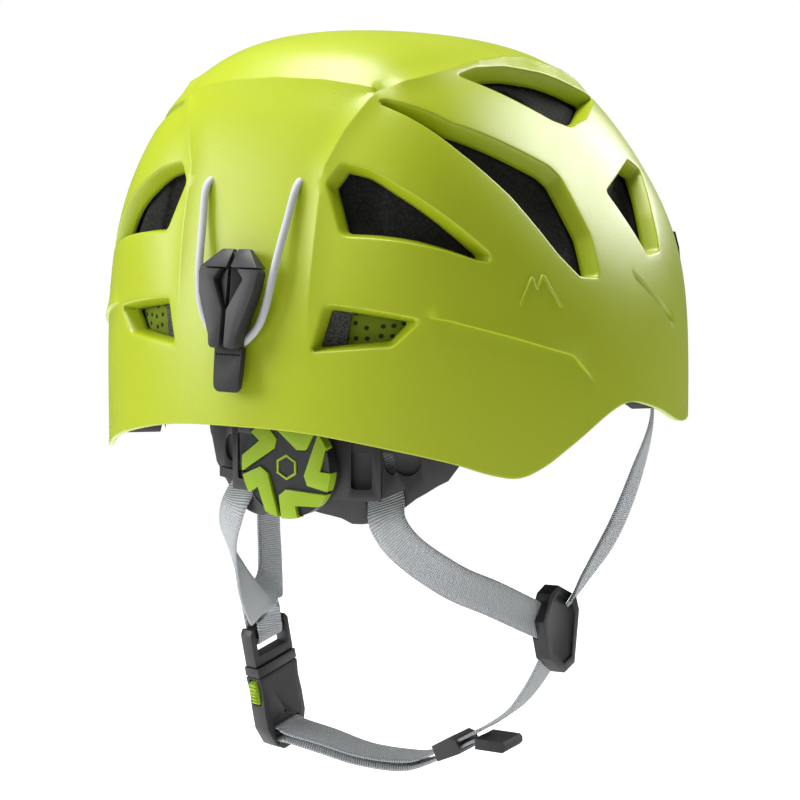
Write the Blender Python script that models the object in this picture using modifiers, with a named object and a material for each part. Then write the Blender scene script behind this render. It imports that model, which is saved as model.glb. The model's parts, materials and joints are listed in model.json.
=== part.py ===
# Climbing helmet: hard shell, foam liner, wheel-adjusted nape cradle and buckled harness.
# Helmet faces +Y, wearer's right is +X, up is +Z. Work is done in millimetres, then scaled to metres.
import bpy, bmesh
from math import sin, cos, asin, atan2, radians, degrees, pi, sqrt, hypot
from mathutils import Vector, Matrix

for old in list(bpy.data.objects):
    bpy.data.objects.remove(old, do_unlink=True)

MM = 0.001
GAP = 0.35                       # clearance between pieces that touch

# ---- driving sizes -------------------------------------------------------------------------
HALF_WIDTH, HALF_LENGTH, CROWN = 120.6, 132.4, 155.2
PLAN_POWER, WALL_POWER, BLEND = 2.0, 4.3, 14
# shallow flats that shape the dome: azimuth from the rear, tilt up, distance
FLATS = ((0, 18, 142.5), (0, 75, 185), (83.4, 29.3, 127.6), (45, 28.7, 178.4), (135, 32, 142.6),
         (180, 32, 153.7), (78.7, 59.3, 163.3), (180, 66.4, 153.7))
# rim height by azimuth from the rear
RIM = ((0, 0), (12, -1), (23, -5), (36.5, -12), (45, -18), (50, -19.5), (55, -16), (61, -9), (71, 2),
       (77.5, 5), (87, 1), (101, -8), (115, -9), (140, -6), (180, -2))
SHELL_T, LINER_T = 2.4, 21.0
LINER_RISE = 5.0                 # the foam stops this far above the shell's rim
# vent outlines, azimuth and elevation in degrees, right-hand side
VENTS = {
    "crown": ((44, 58.2), (52.5, 62), (70, 65.2), (92, 64.6), (109, 60.5), (120.5, 57), (98.5, 55.2),
              (86, 54.2), (78, 55.4)),
    "sweep": ((24, 48.6), (25.3, 49.3), (28, 49), (39.5, 47.5), (66.4, 46), (69.5, 44.3), (73, 33.6),
              (72, 25.6), (66, 25.7), (61, 29.3), (51, 38), (40.5, 43)),
    "rear": ((18, 40.4), (15.3, 37.6), (18.2, 30.7), (19.3, 30.1), (42.6, 26.9), (45, 27), (44.8, 28.2),
             (28.7, 36.7), (23.3, 39.2)),
    "temple": ((87.5, 42), (108.5, 46), (113, 43.3), (105, 35.6), (100.5, 29), (94, 29)),
}
LOW_SLOT = ((16, 20.3), (13.6, 12.7), (20, 13.2), (27.5, 13.7), (32.3, 18), (30, 18.4))
WEB_W, WEB_T = 15.0, 1.4         # harness webbing
CORD_R = 1.5
WHEEL_R, WHEEL_Z = 20.5, -20.5
PINION_R, TOOTH, PINION_TEETH = 5.0, 0.9, 12
HOUSING_R = 90.5                 # outside radius of the curved wheel housing, centre at Y = +4
HOUSING_CY = 4.0
PIVOT = Vector((0, 10, 16))      # cradle tilts about the line through the temple pins

parts = bpy.data.collections.new("climbing_helmet")
cutters = bpy.data.collections.new("cutters")
for c in (parts, cutters):
    bpy.context.scene.collection.children.link(c)


# ---- helpers -------------------------------------------------------------------------------
def material(name, rgb, rough, metal=0.0):
    m = bpy.data.materials.get(name)
    if m is None:
        m = bpy.data.materials.new(name)
        m.use_nodes = True
        b = m.node_tree.nodes["Principled BSDF"]
        b.inputs["Base Color"].default_value = (*rgb, 1)
        b.inputs["Roughness"].default_value = rough
        b.inputs["Metallic"].default_value = metal
    return m


LIME = ("lime_shell", (0.55, 0.68, 0.03), 0.42)
FOAM = ("liner_foam", (0.03, 0.03, 0.032), 0.9)
BLACK = ("black_plastic", (0.03, 0.03, 0.033), 0.5)
GREY = ("grey_plastic", (0.06, 0.06, 0.065), 0.55)
LIME_SOFT = ("lime_grip", (0.5, 0.66, 0.04), 0.55)
WEBBING = ("webbing", (0.5, 0.52, 0.54), 0.85)
ELASTIC = ("elastic_cord", (0.55, 0.56, 0.58), 0.8)
PADDING = ("padding", (0.07, 0.07, 0.07), 0.95)
PAD_LIME = ("pad_lime", (0.25, 0.33, 0.02), 0.9)
STEEL = ("steel_pin", (0.6, 0.6, 0.62), 0.3, 1.0)


def finish(name, bm, mat, where=None, pivot=None, coll=None):
    """Mesh in millimetres to a named object; 'where' places it, 'pivot' becomes its origin."""
    if where is not None:
        bm.transform(where)
    pivot = Vector(pivot) if pivot else Vector((0, 0, 0))
    bm.transform(Matrix.Translation(-pivot))
    if all(e.is_manifold for e in bm.edges):
        bmesh.ops.recalc_face_normals(bm, faces=bm.faces)
        if bm.calc_volume(signed=True) < 0:
            bmesh.ops.reverse_faces(bm, faces=bm.faces)
    bm.transform(Matrix.Scale(MM, 4))
    me = bpy.data.meshes.new(name)
    bm.to_mesh(me)
    bm.free()
    ob = bpy.data.objects.new(name, me)
    ob.location = pivot * MM
    (coll or parts).objects.link(ob)
    if mat:
        me.materials.append(material(*mat))
    return ob


def cutter(name, bm, where=None):
    ob = finish(name, bm, None, where, coll=cutters)
    ob.hide_render = True
    ob.display_type = 'WIRE'
    return ob


def boolean(ob, tool, op='DIFFERENCE'):
    m = ob.modifiers.new(tool.name, 'BOOLEAN')
    m.operation, m.solver, m.object = op, 'EXACT', tool
    return ob


def bevel(ob, width, segments=2, angle=35):
    m = ob.modifiers.new("edge", 'BEVEL')
    m.width, m.segments, m.limit_method, m.angle_limit = width * MM, segments, 'ANGLE', radians(angle)
    return ob


def table(rows, a):
    a = abs(a)
    for (a0, v0), (a1, v1) in zip(rows, rows[1:]):
        if a <= a1:
            t = (a - a0) / (a1 - a0)
            t = t * t * (3 - 2 * t) if len(rows) > 9 else t
            return v0 + (v1 - v0) * t
    return rows[-1][1]


def box(sx, sy, sz, at=(0, 0, 0)):
    bm = bmesh.new()
    bmesh.ops.create_cube(bm, size=1)
    bm.transform(Matrix.Translation(Vector(at)) @ Matrix.Diagonal((sx, sy, sz, 1)))
    return bm


def drum(r, length, axis, at, segs=24, r2=None):
    """Cylinder or cone centred at 'at', along X, Y or Z."""
    bm = bmesh.new()
    bmesh.ops.create_cone(bm, cap_ends=True, segments=segs, radius1=r, radius2=r if r2 is None else r2,
                          depth=length)
    turn = {"X": Matrix.Rotation(pi / 2, 4, 'Y'), "Y": Matrix.Rotation(-pi / 2, 4, 'X'),
            "Z": Matrix.Identity(4)}[axis]
    bm.transform(Matrix.Translation(Vector(at)) @ turn)
    return bm


def prism(outline, lo, hi, axis="Y"):
    """Flat outline extruded between two heights; outline is (x, z) for Y and (x, y) for Z."""
    bm = bmesh.new()
    if axis == "Y":
        vs = [bm.verts.new((a, lo, b)) for a, b in outline]
        step = Vector((0, hi - lo, 0))
    elif axis == "X":
        vs = [bm.verts.new((lo, a, b)) for a, b in outline]
        step = Vector((hi - lo, 0, 0))
    else:
        vs = [bm.verts.new((a, b, lo)) for a, b in outline]
        step = Vector((0, 0, hi - lo))
    face = bm.faces.new(vs)
    out = bmesh.ops.extrude_face_region(bm, geom=[face])
    bmesh.ops.translate(bm, vec=step, verts=[g for g in out["geom"] if isinstance(g, bmesh.types.BMVert)])
    return bm


def merge(*bms):
    """Several closed shells in one mesh, for a cutter."""
    out = bmesh.new()
    for b in bms:
        me = bpy.data.meshes.new("part")
        b.to_mesh(me)
        out.from_mesh(me)
        bpy.data.meshes.remove(me)
        b.free()
    return out


# ---- the dome ------------------------------------------------------------------------------
def flats():
    for az, tilt, dist in FLATS:
        a, t = radians(az), radians(tilt)
        for side in ((1, -1) if az not in (0, 180) else (1,)):
            yield Vector((side * sin(a) * cos(t), -cos(a) * cos(t), sin(t))), dist


FLAT_LIST = list(flats())


def reach(p):
    """Below 1 inside the dome, 1 on its outer skin."""
    h = ((abs(p.x) / HALF_WIDTH) ** PLAN_POWER + (abs(p.y) / HALF_LENGTH) ** PLAN_POWER) ** (1 / PLAN_POWER)
    f = (h ** WALL_POWER + (max(p.z, 0) / CROWN) ** WALL_POWER) ** (BLEND / WALL_POWER)
    for n, dist in FLAT_LIST:
        f += max(0.0, n.dot(p) / dist) ** BLEND
    return f ** (1 / BLEND)


def heading(az, el):
    a, e = radians(az), radians(el)
    return Vector((sin(a) * cos(e), -cos(a) * cos(e), sin(e)))


def dome(az, el, inward=0.0):
    d = heading(az, el)
    return d * (1 / reach(d) - inward)


def rim_z(az):
    """Rim height: a smooth curve through the rows of RIM."""
    a = abs(az)
    k = max(i for i in range(len(RIM) - 1) if RIM[i][0] <= a)
    (a0, z0), (a1, z1) = RIM[k], RIM[k + 1]
    lead, trail = RIM[max(k - 1, 0)], RIM[min(k + 2, len(RIM) - 1)]
    w = a1 - a0
    m0 = 0 if k == 0 else (z1 - lead[1]) / (a1 - lead[0]) * w
    m1 = 0 if k == len(RIM) - 2 else (trail[1] - z0) / (trail[0] - a0) * w
    t = (a - a0) / w
    return ((2 * t ** 3 - 3 * t * t + 1) * z0 + (t ** 3 - 2 * t * t + t) * m0
            + (3 * t * t - 2 * t ** 3) * z1 + (t ** 3 - t * t) * m1)


def rim_el(az, rise=0.0):
    return degrees(atan2(rim_z(az) + rise, dome(az, 0).length))


def skin(inward, rise, segs=64, rings=15, lowest=None):
    """Open dome sheet from the crown to the rim, or to a fixed elevation."""
    bm = bmesh.new()
    bmesh.ops.create_uvsphere(bm, u_segments=segs, v_segments=2 * rings, radius=1)
    bmesh.ops.delete(bm, geom=[v for v in bm.verts if v.co.z < -0.02], context='VERTS')
    for v in bm.verts:
        az = degrees(atan2(v.co.x, -v.co.y)) + 180 / segs
        az = az - 360 if az > 180 else az
        t = 1 - degrees(asin(max(-1, min(1, v.co.z)))) / 90
        low = rim_el(az) if lowest is None else lowest
        el = 90 - t * (90 - low)
        v.co = dome(az, max(el, rim_el(az, rise)) if lowest is None else el, inward)
    bmesh.ops.recalc_face_normals(bm, faces=bm.faces)
    bm.faces.ensure_lookup_table()
    if max(bm.faces, key=lambda f: f.calc_center_median().z).normal.z < 0:
        bmesh.ops.reverse_faces(bm, faces=bm.faces)
    return bm


def solid_skin(name, bm, thick, mat=None, coll=None):
    ob = finish(name, bm, mat, coll=coll)
    m = ob.modifiers.new("thick", 'SOLIDIFY')
    m.thickness, m.offset = thick * MM, -1
    return ob


def back_y(x, z, out=0.0):
    """Y of the rear skin at a given X and Z, moved outwards by 'out'."""
    near, far = -60.0, -170.0
    for _ in range(40):
        mid = (near + far) / 2
        if reach(Vector((x, mid, z))) < 1:
            near = mid
        else:
            far = mid
    return near - out


def radial_hole(outline, r0=70.0, r1=210.0, side=1, shrink=1.0):
    ca = sum(a for a, _ in outline) / len(outline)
    ce = sum(e for _, e in outline) / len(outline)
    bm = bmesh.new()
    vs = [bm.verts.new(heading(side * (ca + (a - ca) * shrink), ce + (e - ce) * shrink) * r0)
          for a, e in outline]
    face = bm.faces.new(vs)
    out = bmesh.ops.extrude_face_region(bm, geom=[face])
    for g in out["geom"]:
        if isinstance(g, bmesh.types.BMVert):
            g.co *= r1 / r0
    bmesh.ops.recalc_face_normals(bm, faces=bm.faces)
    return bm


def shade_cut(ob, tools):
    for t in tools:
        boolean(ob, t)
    return ob


# ---- lamp cord route (closed loop) ----------------------------------------------------------
def smooth_loop(pts, per, cyclic=True):
    out, n = [], len(pts)
    for i in range(n if cyclic else n - 1):
        p0, p1, p2, p3 = (pts[(i + k) % n] if cyclic else pts[max(0, min(n - 1, i + k))]
                          for k in (-1, 0, 1, 2))
        for s in range(per):
            t = s / per
            out.append(0.5 * ((2 * p1) + (p2 - p0) * t + (2 * p0 - 5 * p1 + 4 * p2 - p3) * t * t
                              + (3 * p1 - p0 - 3 * p2 + p3) * t ** 3))
    if not cyclic:
        out.append(pts[-1].copy())
    return out


def tube(name, pts, radius, cyclic=True):
    """Round cord along the points, as a mesh in millimetres."""
    cu = bpy.data.curves.new(name, 'CURVE')
    cu.dimensions = '3D'
    cu.bevel_depth, cu.bevel_resolution, cu.render_resolution_u = radius, 2, 0
    cu.use_fill_caps = not cyclic
    sp = cu.splines.new('POLY')
    sp.points.add(len(pts) - 1)
    for q, p in zip(sp.points, pts):
        q.co = (*p, 1)
    sp.use_cyclic_u = cyclic
    ob = bpy.data.objects.new(name, cu)
    bpy.context.scene.collection.objects.link(ob)
    dg = bpy.context.evaluated_depsgraph_get()
    me = bpy.data.meshes.new_from_object(ob.evaluated_get(dg))
    bm = bmesh.new()
    bm.from_mesh(me)
    bpy.data.objects.remove(ob)
    bpy.data.meshes.remove(me)
    bmesh.ops.remove_doubles(bm, verts=bm.verts, dist=0.001)
    bmesh.ops.recalc_face_normals(bm, faces=bm.faces)
    return bm


HOLE_X, HOLE_Z = 20.0, 93.0


def cord_route():
    half = []
    for x, z, out in ((20, 88, 2.2), (18.6, 78, 2.6), (16.6, 68, 2.9), (15.2, 58, 3.1), (13.6, 48, 3.1),
                      (11.2, 40, 3.1), (7.6, 34.6, 3.1), (3.2, 31.6, 3.1)):
        half.append(Vector((x, back_y(x, z, out), z)))
    y = back_y(HOLE_X, HOLE_Z)
    top = [Vector((10, y + 8.6, HOLE_Z - 0.2)), Vector((16.5, y + 7.6, HOLE_Z - 0.2)),
           Vector((19.4, y + 4.6, HOLE_Z - 0.2)), Vector((20.0, y - 0.2, HOLE_Z - 1.0))]
    right = top + half
    left = [Vector((-p.x, p.y, p.z)) for p in reversed(right)]
    return right + left


CORD = smooth_loop(cord_route(), 3)

# ---- cutters for the shell and liner --------------------------------------------------------
shell_holes, liner_holes = [], []
for key, outline in VENTS.items():
    for side, tag in ((1, "right"), (-1, "left")):
        shell_holes.append(cutter(f"vent_{key}_{tag}", radial_hole(outline, side=side)))
        liner_holes.append(cutter(f"liner_vent_{key}_{tag}", radial_hole(outline, side=side, shrink=0.84)))
for side, tag in ((1, "right"), (-1, "left")):
    shell_holes.append(cutter(f"slot_{tag}", radial_hole(LOW_SLOT, side=side)))
    liner_holes.append(cutter(f"pocket_{tag}", radial_hole(LOW_SLOT, r0=117, side=side, shrink=1.06)))
cord_groove = cutter("cord_groove", tube("fat_cord", CORD, CORD_R + 0.45))
hole_y = back_y(HOLE_X, HOLE_Z)
for side, tag in ((1, "right"), (-1, "left")):
    bm = drum(1, 14, "Z", (0, 0, 0))
    bm.transform(Matrix.Translation((side * HOLE_X, hole_y, HOLE_Z - 1.2)) @ Matrix.Rotation(radians(68), 4, 'X')
                 @ Matrix.Diagonal((2.8, 4.4, 1, 1)))
    shell_holes.append(cutter(f"cord_hole_{tag}", bm))
liner_holes.append(cutter("cord_channel", box(47, 12, 11, (0, hole_y + 6.5, HOLE_Z + 0.6))))
outer_dome = solid_skin("outer_dome", skin(-GAP - 0.3, 0), 12, coll=cutters)
outer_dome.hide_render, outer_dome.display_type = True, 'WIRE'

# ---- shell and liner ------------------------------------------------------------------------
shell = solid_skin("outer_shell", skin(0, 0), SHELL_T, LIME)
shade_cut(shell, shell_holes)
liner = solid_skin("foam_liner", skin(SHELL_T + GAP + 0.6, LINER_RISE), LINER_T, FOAM)
pin_seats = cutter("pin_seats", merge(*[drum(3.4, 30, "X", (s * 95, PIVOT.y, PIVOT.z)) for s in (1, -1)]))
shade_cut(liner, liner_holes + [pin_seats])


# ---- ribbons --------------------------------------------------------------------------------
def ribbon(stations, width=WEB_W, thick=WEB_T, per=4):
    """Flat strap lofted through stations of (point, width direction)."""
    pts = smooth_loop([Vector(p) for p, _ in stations], per, cyclic=False)
    wid = smooth_loop([Vector(w).normalized() for _, w in stations], per, cyclic=False)
    bm, rings = bmesh.new(), []
    for i, p in enumerate(pts):
        t = (pts[min(i + 1, len(pts) - 1)] - pts[max(i - 1, 0)]).normalized()
        w = (wid[i] - t * wid[i].dot(t)).normalized()
        n = t.cross(w)
        rings.append([bm.verts.new(p + w * (a * width / 2) + n * (b * thick / 2))
                      for a, b in ((-1, -1), (1, -1), (1, 1), (-1, 1))])
    for a, b in zip(rings, rings[1:]):
        for k in range(4):
            bm.faces.new((a[k], a[(k + 1) % 4], b[(k + 1) % 4], b[k]))
    bm.faces.new(rings[0])
    bm.faces.new(rings[-1])
    bmesh.ops.recalc_face_normals(bm, faces=bm.faces)
    return bm


def basis(origin, x, y, z):
    m = Matrix((x, y, z)).transposed().to_4x4()
    m.translation = origin
    return m


# ---- lamp hook and pull tab -----------------------------------------------------------------
HOOK_Z = 48.0
lean = atan2(back_y(0, 62) - back_y(0, 34), 28)
HOOK = Matrix.Translation((0, back_y(0, HOOK_Z), HOOK_Z)) @ Matrix.Rotation(-lean, 4, 'X')
HOOK_DOWN = (HOOK.to_3x3() @ Vector((0, 0, -1))).normalized()
hook_plate = ((-6.5, 18.5), (6.5, 18.5), (13.5, 11), (12.5, 0), (8.0, -15), (6.5, -19), (-6.5, -19),
              (-8.0, -15), (-12.5, 0), (-13.5, 11))
hook_neck = ((-5.5, 17), (5.5, 17), (9.5, 9), (8.8, 0), (5.2, -12), (3.2, -14.5), (-3.2, -14.5),
             (-5.2, -12), (-8.8, 0), (-9.5, 9))
hook = finish("lamp_hook", prism(hook_plate, -10.2, -5.4), BLACK, HOOK)
neck = cutter("hook_neck", prism(hook_neck, -6.0, 4.0), HOOK)
boolean(hook, neck, 'UNION')
boolean(hook, cutter("hook_slit", box(2.0, 3.4, 12, (0, -10.2, 14)), HOOK))
boolean(hook, cutter("hook_notch", prism(((0, 10), (3.6, 6), (0.8, -9), (0.8, -20), (-0.8, -20), (-0.8, -9),
                                          (-3.6, 6)), -11.5, -7.6), HOOK))
boolean(hook, outer_dome)
boolean(hook, cord_groove)
tab = finish("pull_tab", prism(((-6.2, -19.4), (6.2, -19.4), (5.6, -34), (4.2, -37.5), (-4.2, -37.5),
                                (-5.6, -34)), -4.6, -2.6), BLACK, HOOK)
cord = finish("lamp_cord", tube("cord", CORD, CORD_R), ELASTIC)

# front lamp clips: a small hooked block on each side of the brow
for side, tag in ((1, "right"), (-1, "left")):
    az = 138
    p = dome(side * az, 25)
    out = Vector((sin(radians(side * az)), -cos(radians(az)), 0.15)).normalized()
    up = (Vector((0, 0, 1)) - out * out.z).normalized()
    frame = basis(p, up.cross(-out), -out, up)
    clip = finish(f"front_lamp_clip_{tag}", prism(((-5, -9), (5, -9), (6, 2), (4, 9), (-4, 9), (-6, 2)), -6.5, 5),
                  BLACK, frame)
    boolean(clip, cutter(f"clip_notch_{tag}", box(16, 2.6, 11, (0, -2.6, -5.6)), frame))
    boolean(clip, outer_dome)


# ---- bands: curved strips about the head ----------------------------------------------------
def strip(name, a, b, az0, az1, low, high, thick, mat, steps=44, rows=3):
    """Same strip given its thickness by lofting an inner and an outer sheet."""
    bm = bmesh.new()
    grid = {}
    for i in range(steps + 1):
        az = az0 + (az1 - az0) * i / steps
        d = heading(az, 0)
        for j in range(rows + 1):
            k = j / rows
            for s in (0, 1):
                aa, bb = a + (s - 0.5) * thick, b + (s - 0.5) * thick
                r = 1 / sqrt((d.x / aa) ** 2 + (d.y / bb) ** 2)
                grid[i, j, s] = bm.verts.new((d.x * r, d.y * r, low(az) * (1 - k) + high(az) * k))
    for i in range(steps):
        for j in range(rows):
            for s in (0, 1):
                bm.faces.new([grid[q] for q in ((i, j, s), (i + 1, j, s), (i + 1, j + 1, s), (i, j + 1, s))])
        for j in (0, rows):
            bm.faces.new([grid[q] for q in ((i, j, 0), (i + 1, j, 0), (i + 1, j, 1), (i, j, 1))])
    for j in range(rows):
        for i in (0, steps):
            bm.faces.new([grid[q] for q in ((i, j, 0), (i, j + 1, 0), (i, j + 1, 1), (i, j, 1))])
    return finish(name, bm, mat)


CRADLE_LOW = ((0, -39), (10, -41), (16, -44), (22, -43), (29, -37), (36, -31), (41, -27), (48, -17),
              (58, -11), (74, 2), (90, 9), (100, 10))
CRADLE_HIGH = ((0, -3), (18, -3), (32, -4), (46, 0), (58, 6), (74, 15), (90, 22), (100, 22), (101, 22),
               (102, 22))
BAND_FRONT_LOW = ((0, 10), (90, 10), (120, 4), (150, 0), (180, -2))
BAND_FRONT_HIGH = ((0, 22), (90, 22), (120, 22), (150, 24), (180, 25))
cradle = strip("nape_cradle", 82, 80, -99, 99, lambda a: table(CRADLE_LOW, a), lambda a: table(CRADLE_HIGH, a),
               2.2, GREY, steps=66)
headband = strip("headband_front", 79, 97, 84, 276, lambda a: table(BAND_FRONT_LOW, a if a < 180 else 360 - a),
                 lambda a: table(BAND_FRONT_HIGH, a if a < 180 else 360 - a), 1.6, GREY, steps=56)
fore = strip("forehead_pad", 75.2, 93.2, 142, 218, lambda a: 2, lambda a: 21, 5, PADDING, steps=24)
nape = strip("nape_pad", 77.6, 75.6, -14, 14, lambda a: -30, lambda a: -10, 5, PADDING, steps=12)

# strap slots and see-through windows of the cradle
SLOT = {s: (Vector((s * 33.5, -73.4, -33.5)), Vector((s * 0.9, 0.35, 0.25)).normalized()) for s in (1, -1)}
holes = []
for s in (1, -1):
    d = heading(s * 25.2, 0) * 80
    wn = Vector((d.x, d.y, 0)).normalized()
    window = prism([(s * a, z) for a, z in ((-2.8, 5.4), (1.6, 5.2), (3.2, -3.6), (1.6, -5.6), (-1.0, -3.4))],
                   -8, 8)
    bmesh.ops.recalc_face_normals(window, faces=window.faces)
    holes.append(cutter(f"window_{s}", window,
                        basis(Vector((d.x, d.y, -18.6)), Vector((-wn.y, wn.x, 0)) * 1, wn, Vector((0, 0, 1)))))
pin_holes = cutter("pin_holes", merge(*[drum(3.35, 16, "X", (s * 81, PIVOT.y, PIVOT.z)) for s in (1, -1)]))
holes.append(pin_holes)
shade_cut(cradle, holes)
boolean(headband, pin_holes)

# temple pins: a head inside the headband, a shaft through both bands into the foam
for s, tag in ((1, "right"), (-1, "left")):
    pin = finish(f"temple_pin_{tag}", drum(3.0, 28, "X", (s * 90.3, PIVOT.y, PIVOT.z)), GREY)
    boolean(pin, cutter(f"pin_head_{tag}", drum(5.2, 1.8, "X", (s * 75.9, PIVOT.y, PIVOT.z))), 'UNION')


# ---- wheel housing, racks and pinion --------------------------------------------------------
def arc_block(r0, r1, az0, az1, z0, z1, steps=16):
    """Curved block about the vertical axis through (0, HOUSING_CY)."""
    bm = bmesh.new()
    rings = []
    for i in range(steps + 1):
        a = radians(az0 + (az1 - az0) * i / steps)
        rings.append([bm.verts.new((r * sin(a), HOUSING_CY - r * cos(a), z))
                      for r, z in ((r0, z0), (r1, z0), (r1, z1), (r0, z1))])
    for a, b in zip(rings, rings[1:]):
        for k in range(4):
            bm.faces.new((a[k], a[(k + 1) % 4], b[(k + 1) % 4], b[k]))
    bm.faces.new(rings[0])
    bm.faces.new(rings[-1])
    bmesh.ops.recalc_face_normals(bm, faces=bm.faces)
    return bm


housing = finish("wheel_housing", arc_block(85.6, HOUSING_R, -22.5, 22.5, -33.5, -5), GREY)
boolean(housing, cutter("rack_way", arc_block(86.8, 89.4, -26, 26, WHEEL_Z - 10.4, WHEEL_Z + 10.4)))
boolean(housing, cutter("shaft_way", drum(3.4, 8, "Y", (0, -86.5, WHEEL_Z))))

PITCH = 2 * pi * PINION_R / PINION_TEETH
RACK_R = 88.1
for s, tag, up in ((1, "right", 1), (-1, "left", -1)):
    z_in, z_out = WHEEL_Z + up * (PINION_R + TOOTH), WHEEL_Z + up * 9.9
    bm = arc_block(RACK_R - 0.9, RACK_R + 0.9, -12 if s > 0 else -31, 31 if s > 0 else 12,
                   min(z_in, z_out), max(z_in, z_out), 20)
    rack = finish(f"rack_{tag}", bm, GREY, pivot=(0, HOUSING_CY, WHEEL_Z))
    teeth = []
    for k in range(-5, 5):
        # a rack tooth stands half a pitch from each pinion tooth
        at = (k + 0.5) * PITCH
        a = degrees(at / RACK_R)
        half = degrees(PITCH * 0.17 / RACK_R)
        t = arc_block(RACK_R - 0.9, RACK_R + 0.9, a - half, a + half,
                      min(WHEEL_Z + up * (PINION_R - TOOTH * 0.8), z_in + up * 0.4),
                      max(WHEEL_Z + up * (PINION_R - TOOTH * 0.8), z_in + up * 0.4), 1)
        teeth.append(t)
    boolean(rack, cutter(f"rack_teeth_{tag}", merge(*teeth)), 'UNION')

gear = []
for k in range(PINION_TEETH * 4):
    a = 2 * pi * (k - 1.5) / (PINION_TEETH * 4)
    r = PINION_R + TOOTH * 0.8 if k % 4 in (1, 2) else PINION_R - TOOTH * 1.2
    w = 0.62 if k % 4 in (1, 2) else 1.0
    a0 = 2 * pi * round((k - 1.5) / 4) / PINION_TEETH
    if k % 4 in (1, 2):
        a = a0 + (a - a0) * w
    gear.append((r * sin(a), r * cos(a)))
pinion = finish("pinion", prism(gear, -84.95, -83.25), GREY, Matrix.Translation((0, 0, WHEEL_Z)),
                pivot=(0, -90, WHEEL_Z))
boolean(pinion, cutter("pinion_shaft", drum(2.9, 5.4, "Y", (0, -86.6, WHEEL_Z))), 'UNION')

# wheel core with five soft bent grips joined by a hidden ring
core_bm = drum(WHEEL_R - 0.8, 6.4, "Y", (0, -90.4, WHEEL_Z), 48)
core = finish("wheel_core", core_bm, BLACK, pivot=(0, -90, WHEEL_Z))
boolean(core, cutter("core_bore", drum(3.25, 5.2, "Y", (0, -87.6, WHEEL_Z))))
# one grip by its distance along and outwards: a long arm across, a short arm out to the rim
GRIP = ((-1.6, 11.8), (1.2, 8.8), (23, 6.8), (23, 11.4), (6.2, 14.4), (9.8, 23), (1.4, 23))
TURNS = [radians(188 + 72 * k) for k in range(5)]


def grip_block(turn, grow, lo, hi):
    """One grip's outline, each side moved outwards by 'grow', extruded on the wheel's face."""
    n, pts = len(GRIP), []
    for i, p in enumerate(GRIP):
        p, a, b = Vector(p), Vector(GRIP[i - 1]), Vector(GRIP[(i + 1) % n])
        u, v = (p - a).normalized(), (b - p).normalized()
        out = Vector((u.y, -u.x)) + Vector((v.y, -v.x))
        t, r = p + out * (grow / (1 + u.dot(v)))
        pts.append((r * sin(turn) - t * cos(turn), r * cos(turn) + t * sin(turn)))
    bm = prism(pts, lo, hi)
    bm.transform(Matrix.Translation((0, 0, WHEEL_Z)))
    return bm


ring = drum(WHEEL_R - 0.2, 2.0, "Y", (0, -89.6, WHEEL_Z), 48)
grip = finish("wheel_grip", ring, LIME_SOFT, pivot=(0, -90, WHEEL_Z))
for k, turn in enumerate(TURNS):
    boolean(grip, cutter(f"grip_v_{k}", grip_block(turn, 0, -94.6, -89.0)), 'UNION')
boolean(grip, cutter("grip_bore", drum(17.6, 3.2, "Y", (0, -89.4, WHEEL_Z), 48)))
boolean(grip, cutter("grip_trim", drum(WHEEL_R, 12, "Y", (0, -91, WHEEL_Z), 48)), 'INTERSECT')
for k, turn in enumerate(TURNS):
    boolean(core, cutter(f"core_v_{k}", grip_block(turn, GAP, -95, -90.5)))
ring_way = cutter("ring_way", drum(WHEEL_R + 4, 2.6, "Y", (0, -89.6, WHEEL_Z), 48))
boolean(ring_way, cutter("ring_core", drum(17.2, 4, "Y", (0, -89.6, WHEEL_Z), 48)))
boolean(core, ring_way)

# ---- pads inside the liner ------------------------------------------------------------------
crown_in = SHELL_T + GAP + 0.6 + LINER_T + 4.5
solid_skin("crown_pad", skin(crown_in, 0, 32, 5, lowest=71), 6.0, PADDING)
for s, tag in ((1, "right"), (-1, "left")):
    for name, lo, hi, depth, thick, mat in (("vent_pad", 20.4, 28.6, 8.2, 4.0, PAD_LIME),
                                            ("vent_strip", 16.0, 19.6, 6.2, 2.4, PADDING)):
        bm = bmesh.new()
        rows = []
        for i in range(7):
            az = s * (lo + (hi - lo) * i / 6)
            top = 18.6 - 1.1 * max(0, (abs(az) - 27) / 4)
            bot = 13.4 + 1.8 * max(0, (abs(az) - 25) / 5)
            rows.append([bm.verts.new(dome(az, e, d)) for e, d in
                         ((bot, depth), (top, depth), (top, depth + thick), (bot, depth + thick))])
        for a, b in zip(rows, rows[1:]):
            for k in range(4):
                bm.faces.new((a[k], a[(k + 1) % 4], b[(k + 1) % 4], b[k]))
        bm.faces.new(rows[0])
        bm.faces.new(rows[-1])
        finish(f"{name}_{tag}", bm, mat)

# ---- harness --------------------------------------------------------------------------------
# buckle frame: x through its thickness, y across its width, z up its length
N = Vector((0.98, -0.2, 0.0)).normalized()
W = Vector((0.2, 0.96, 0.22))
W = (W - N * W.dot(N)).normalized()
U = N.cross(W)
BUCKLE_AT = Vector((-70, 9, -146))
BUCKLE = basis(BUCKLE_AT, N, W, U)


def on_buckle(x, y, z):
    return BUCKLE @ Vector((x, y, z))


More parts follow.
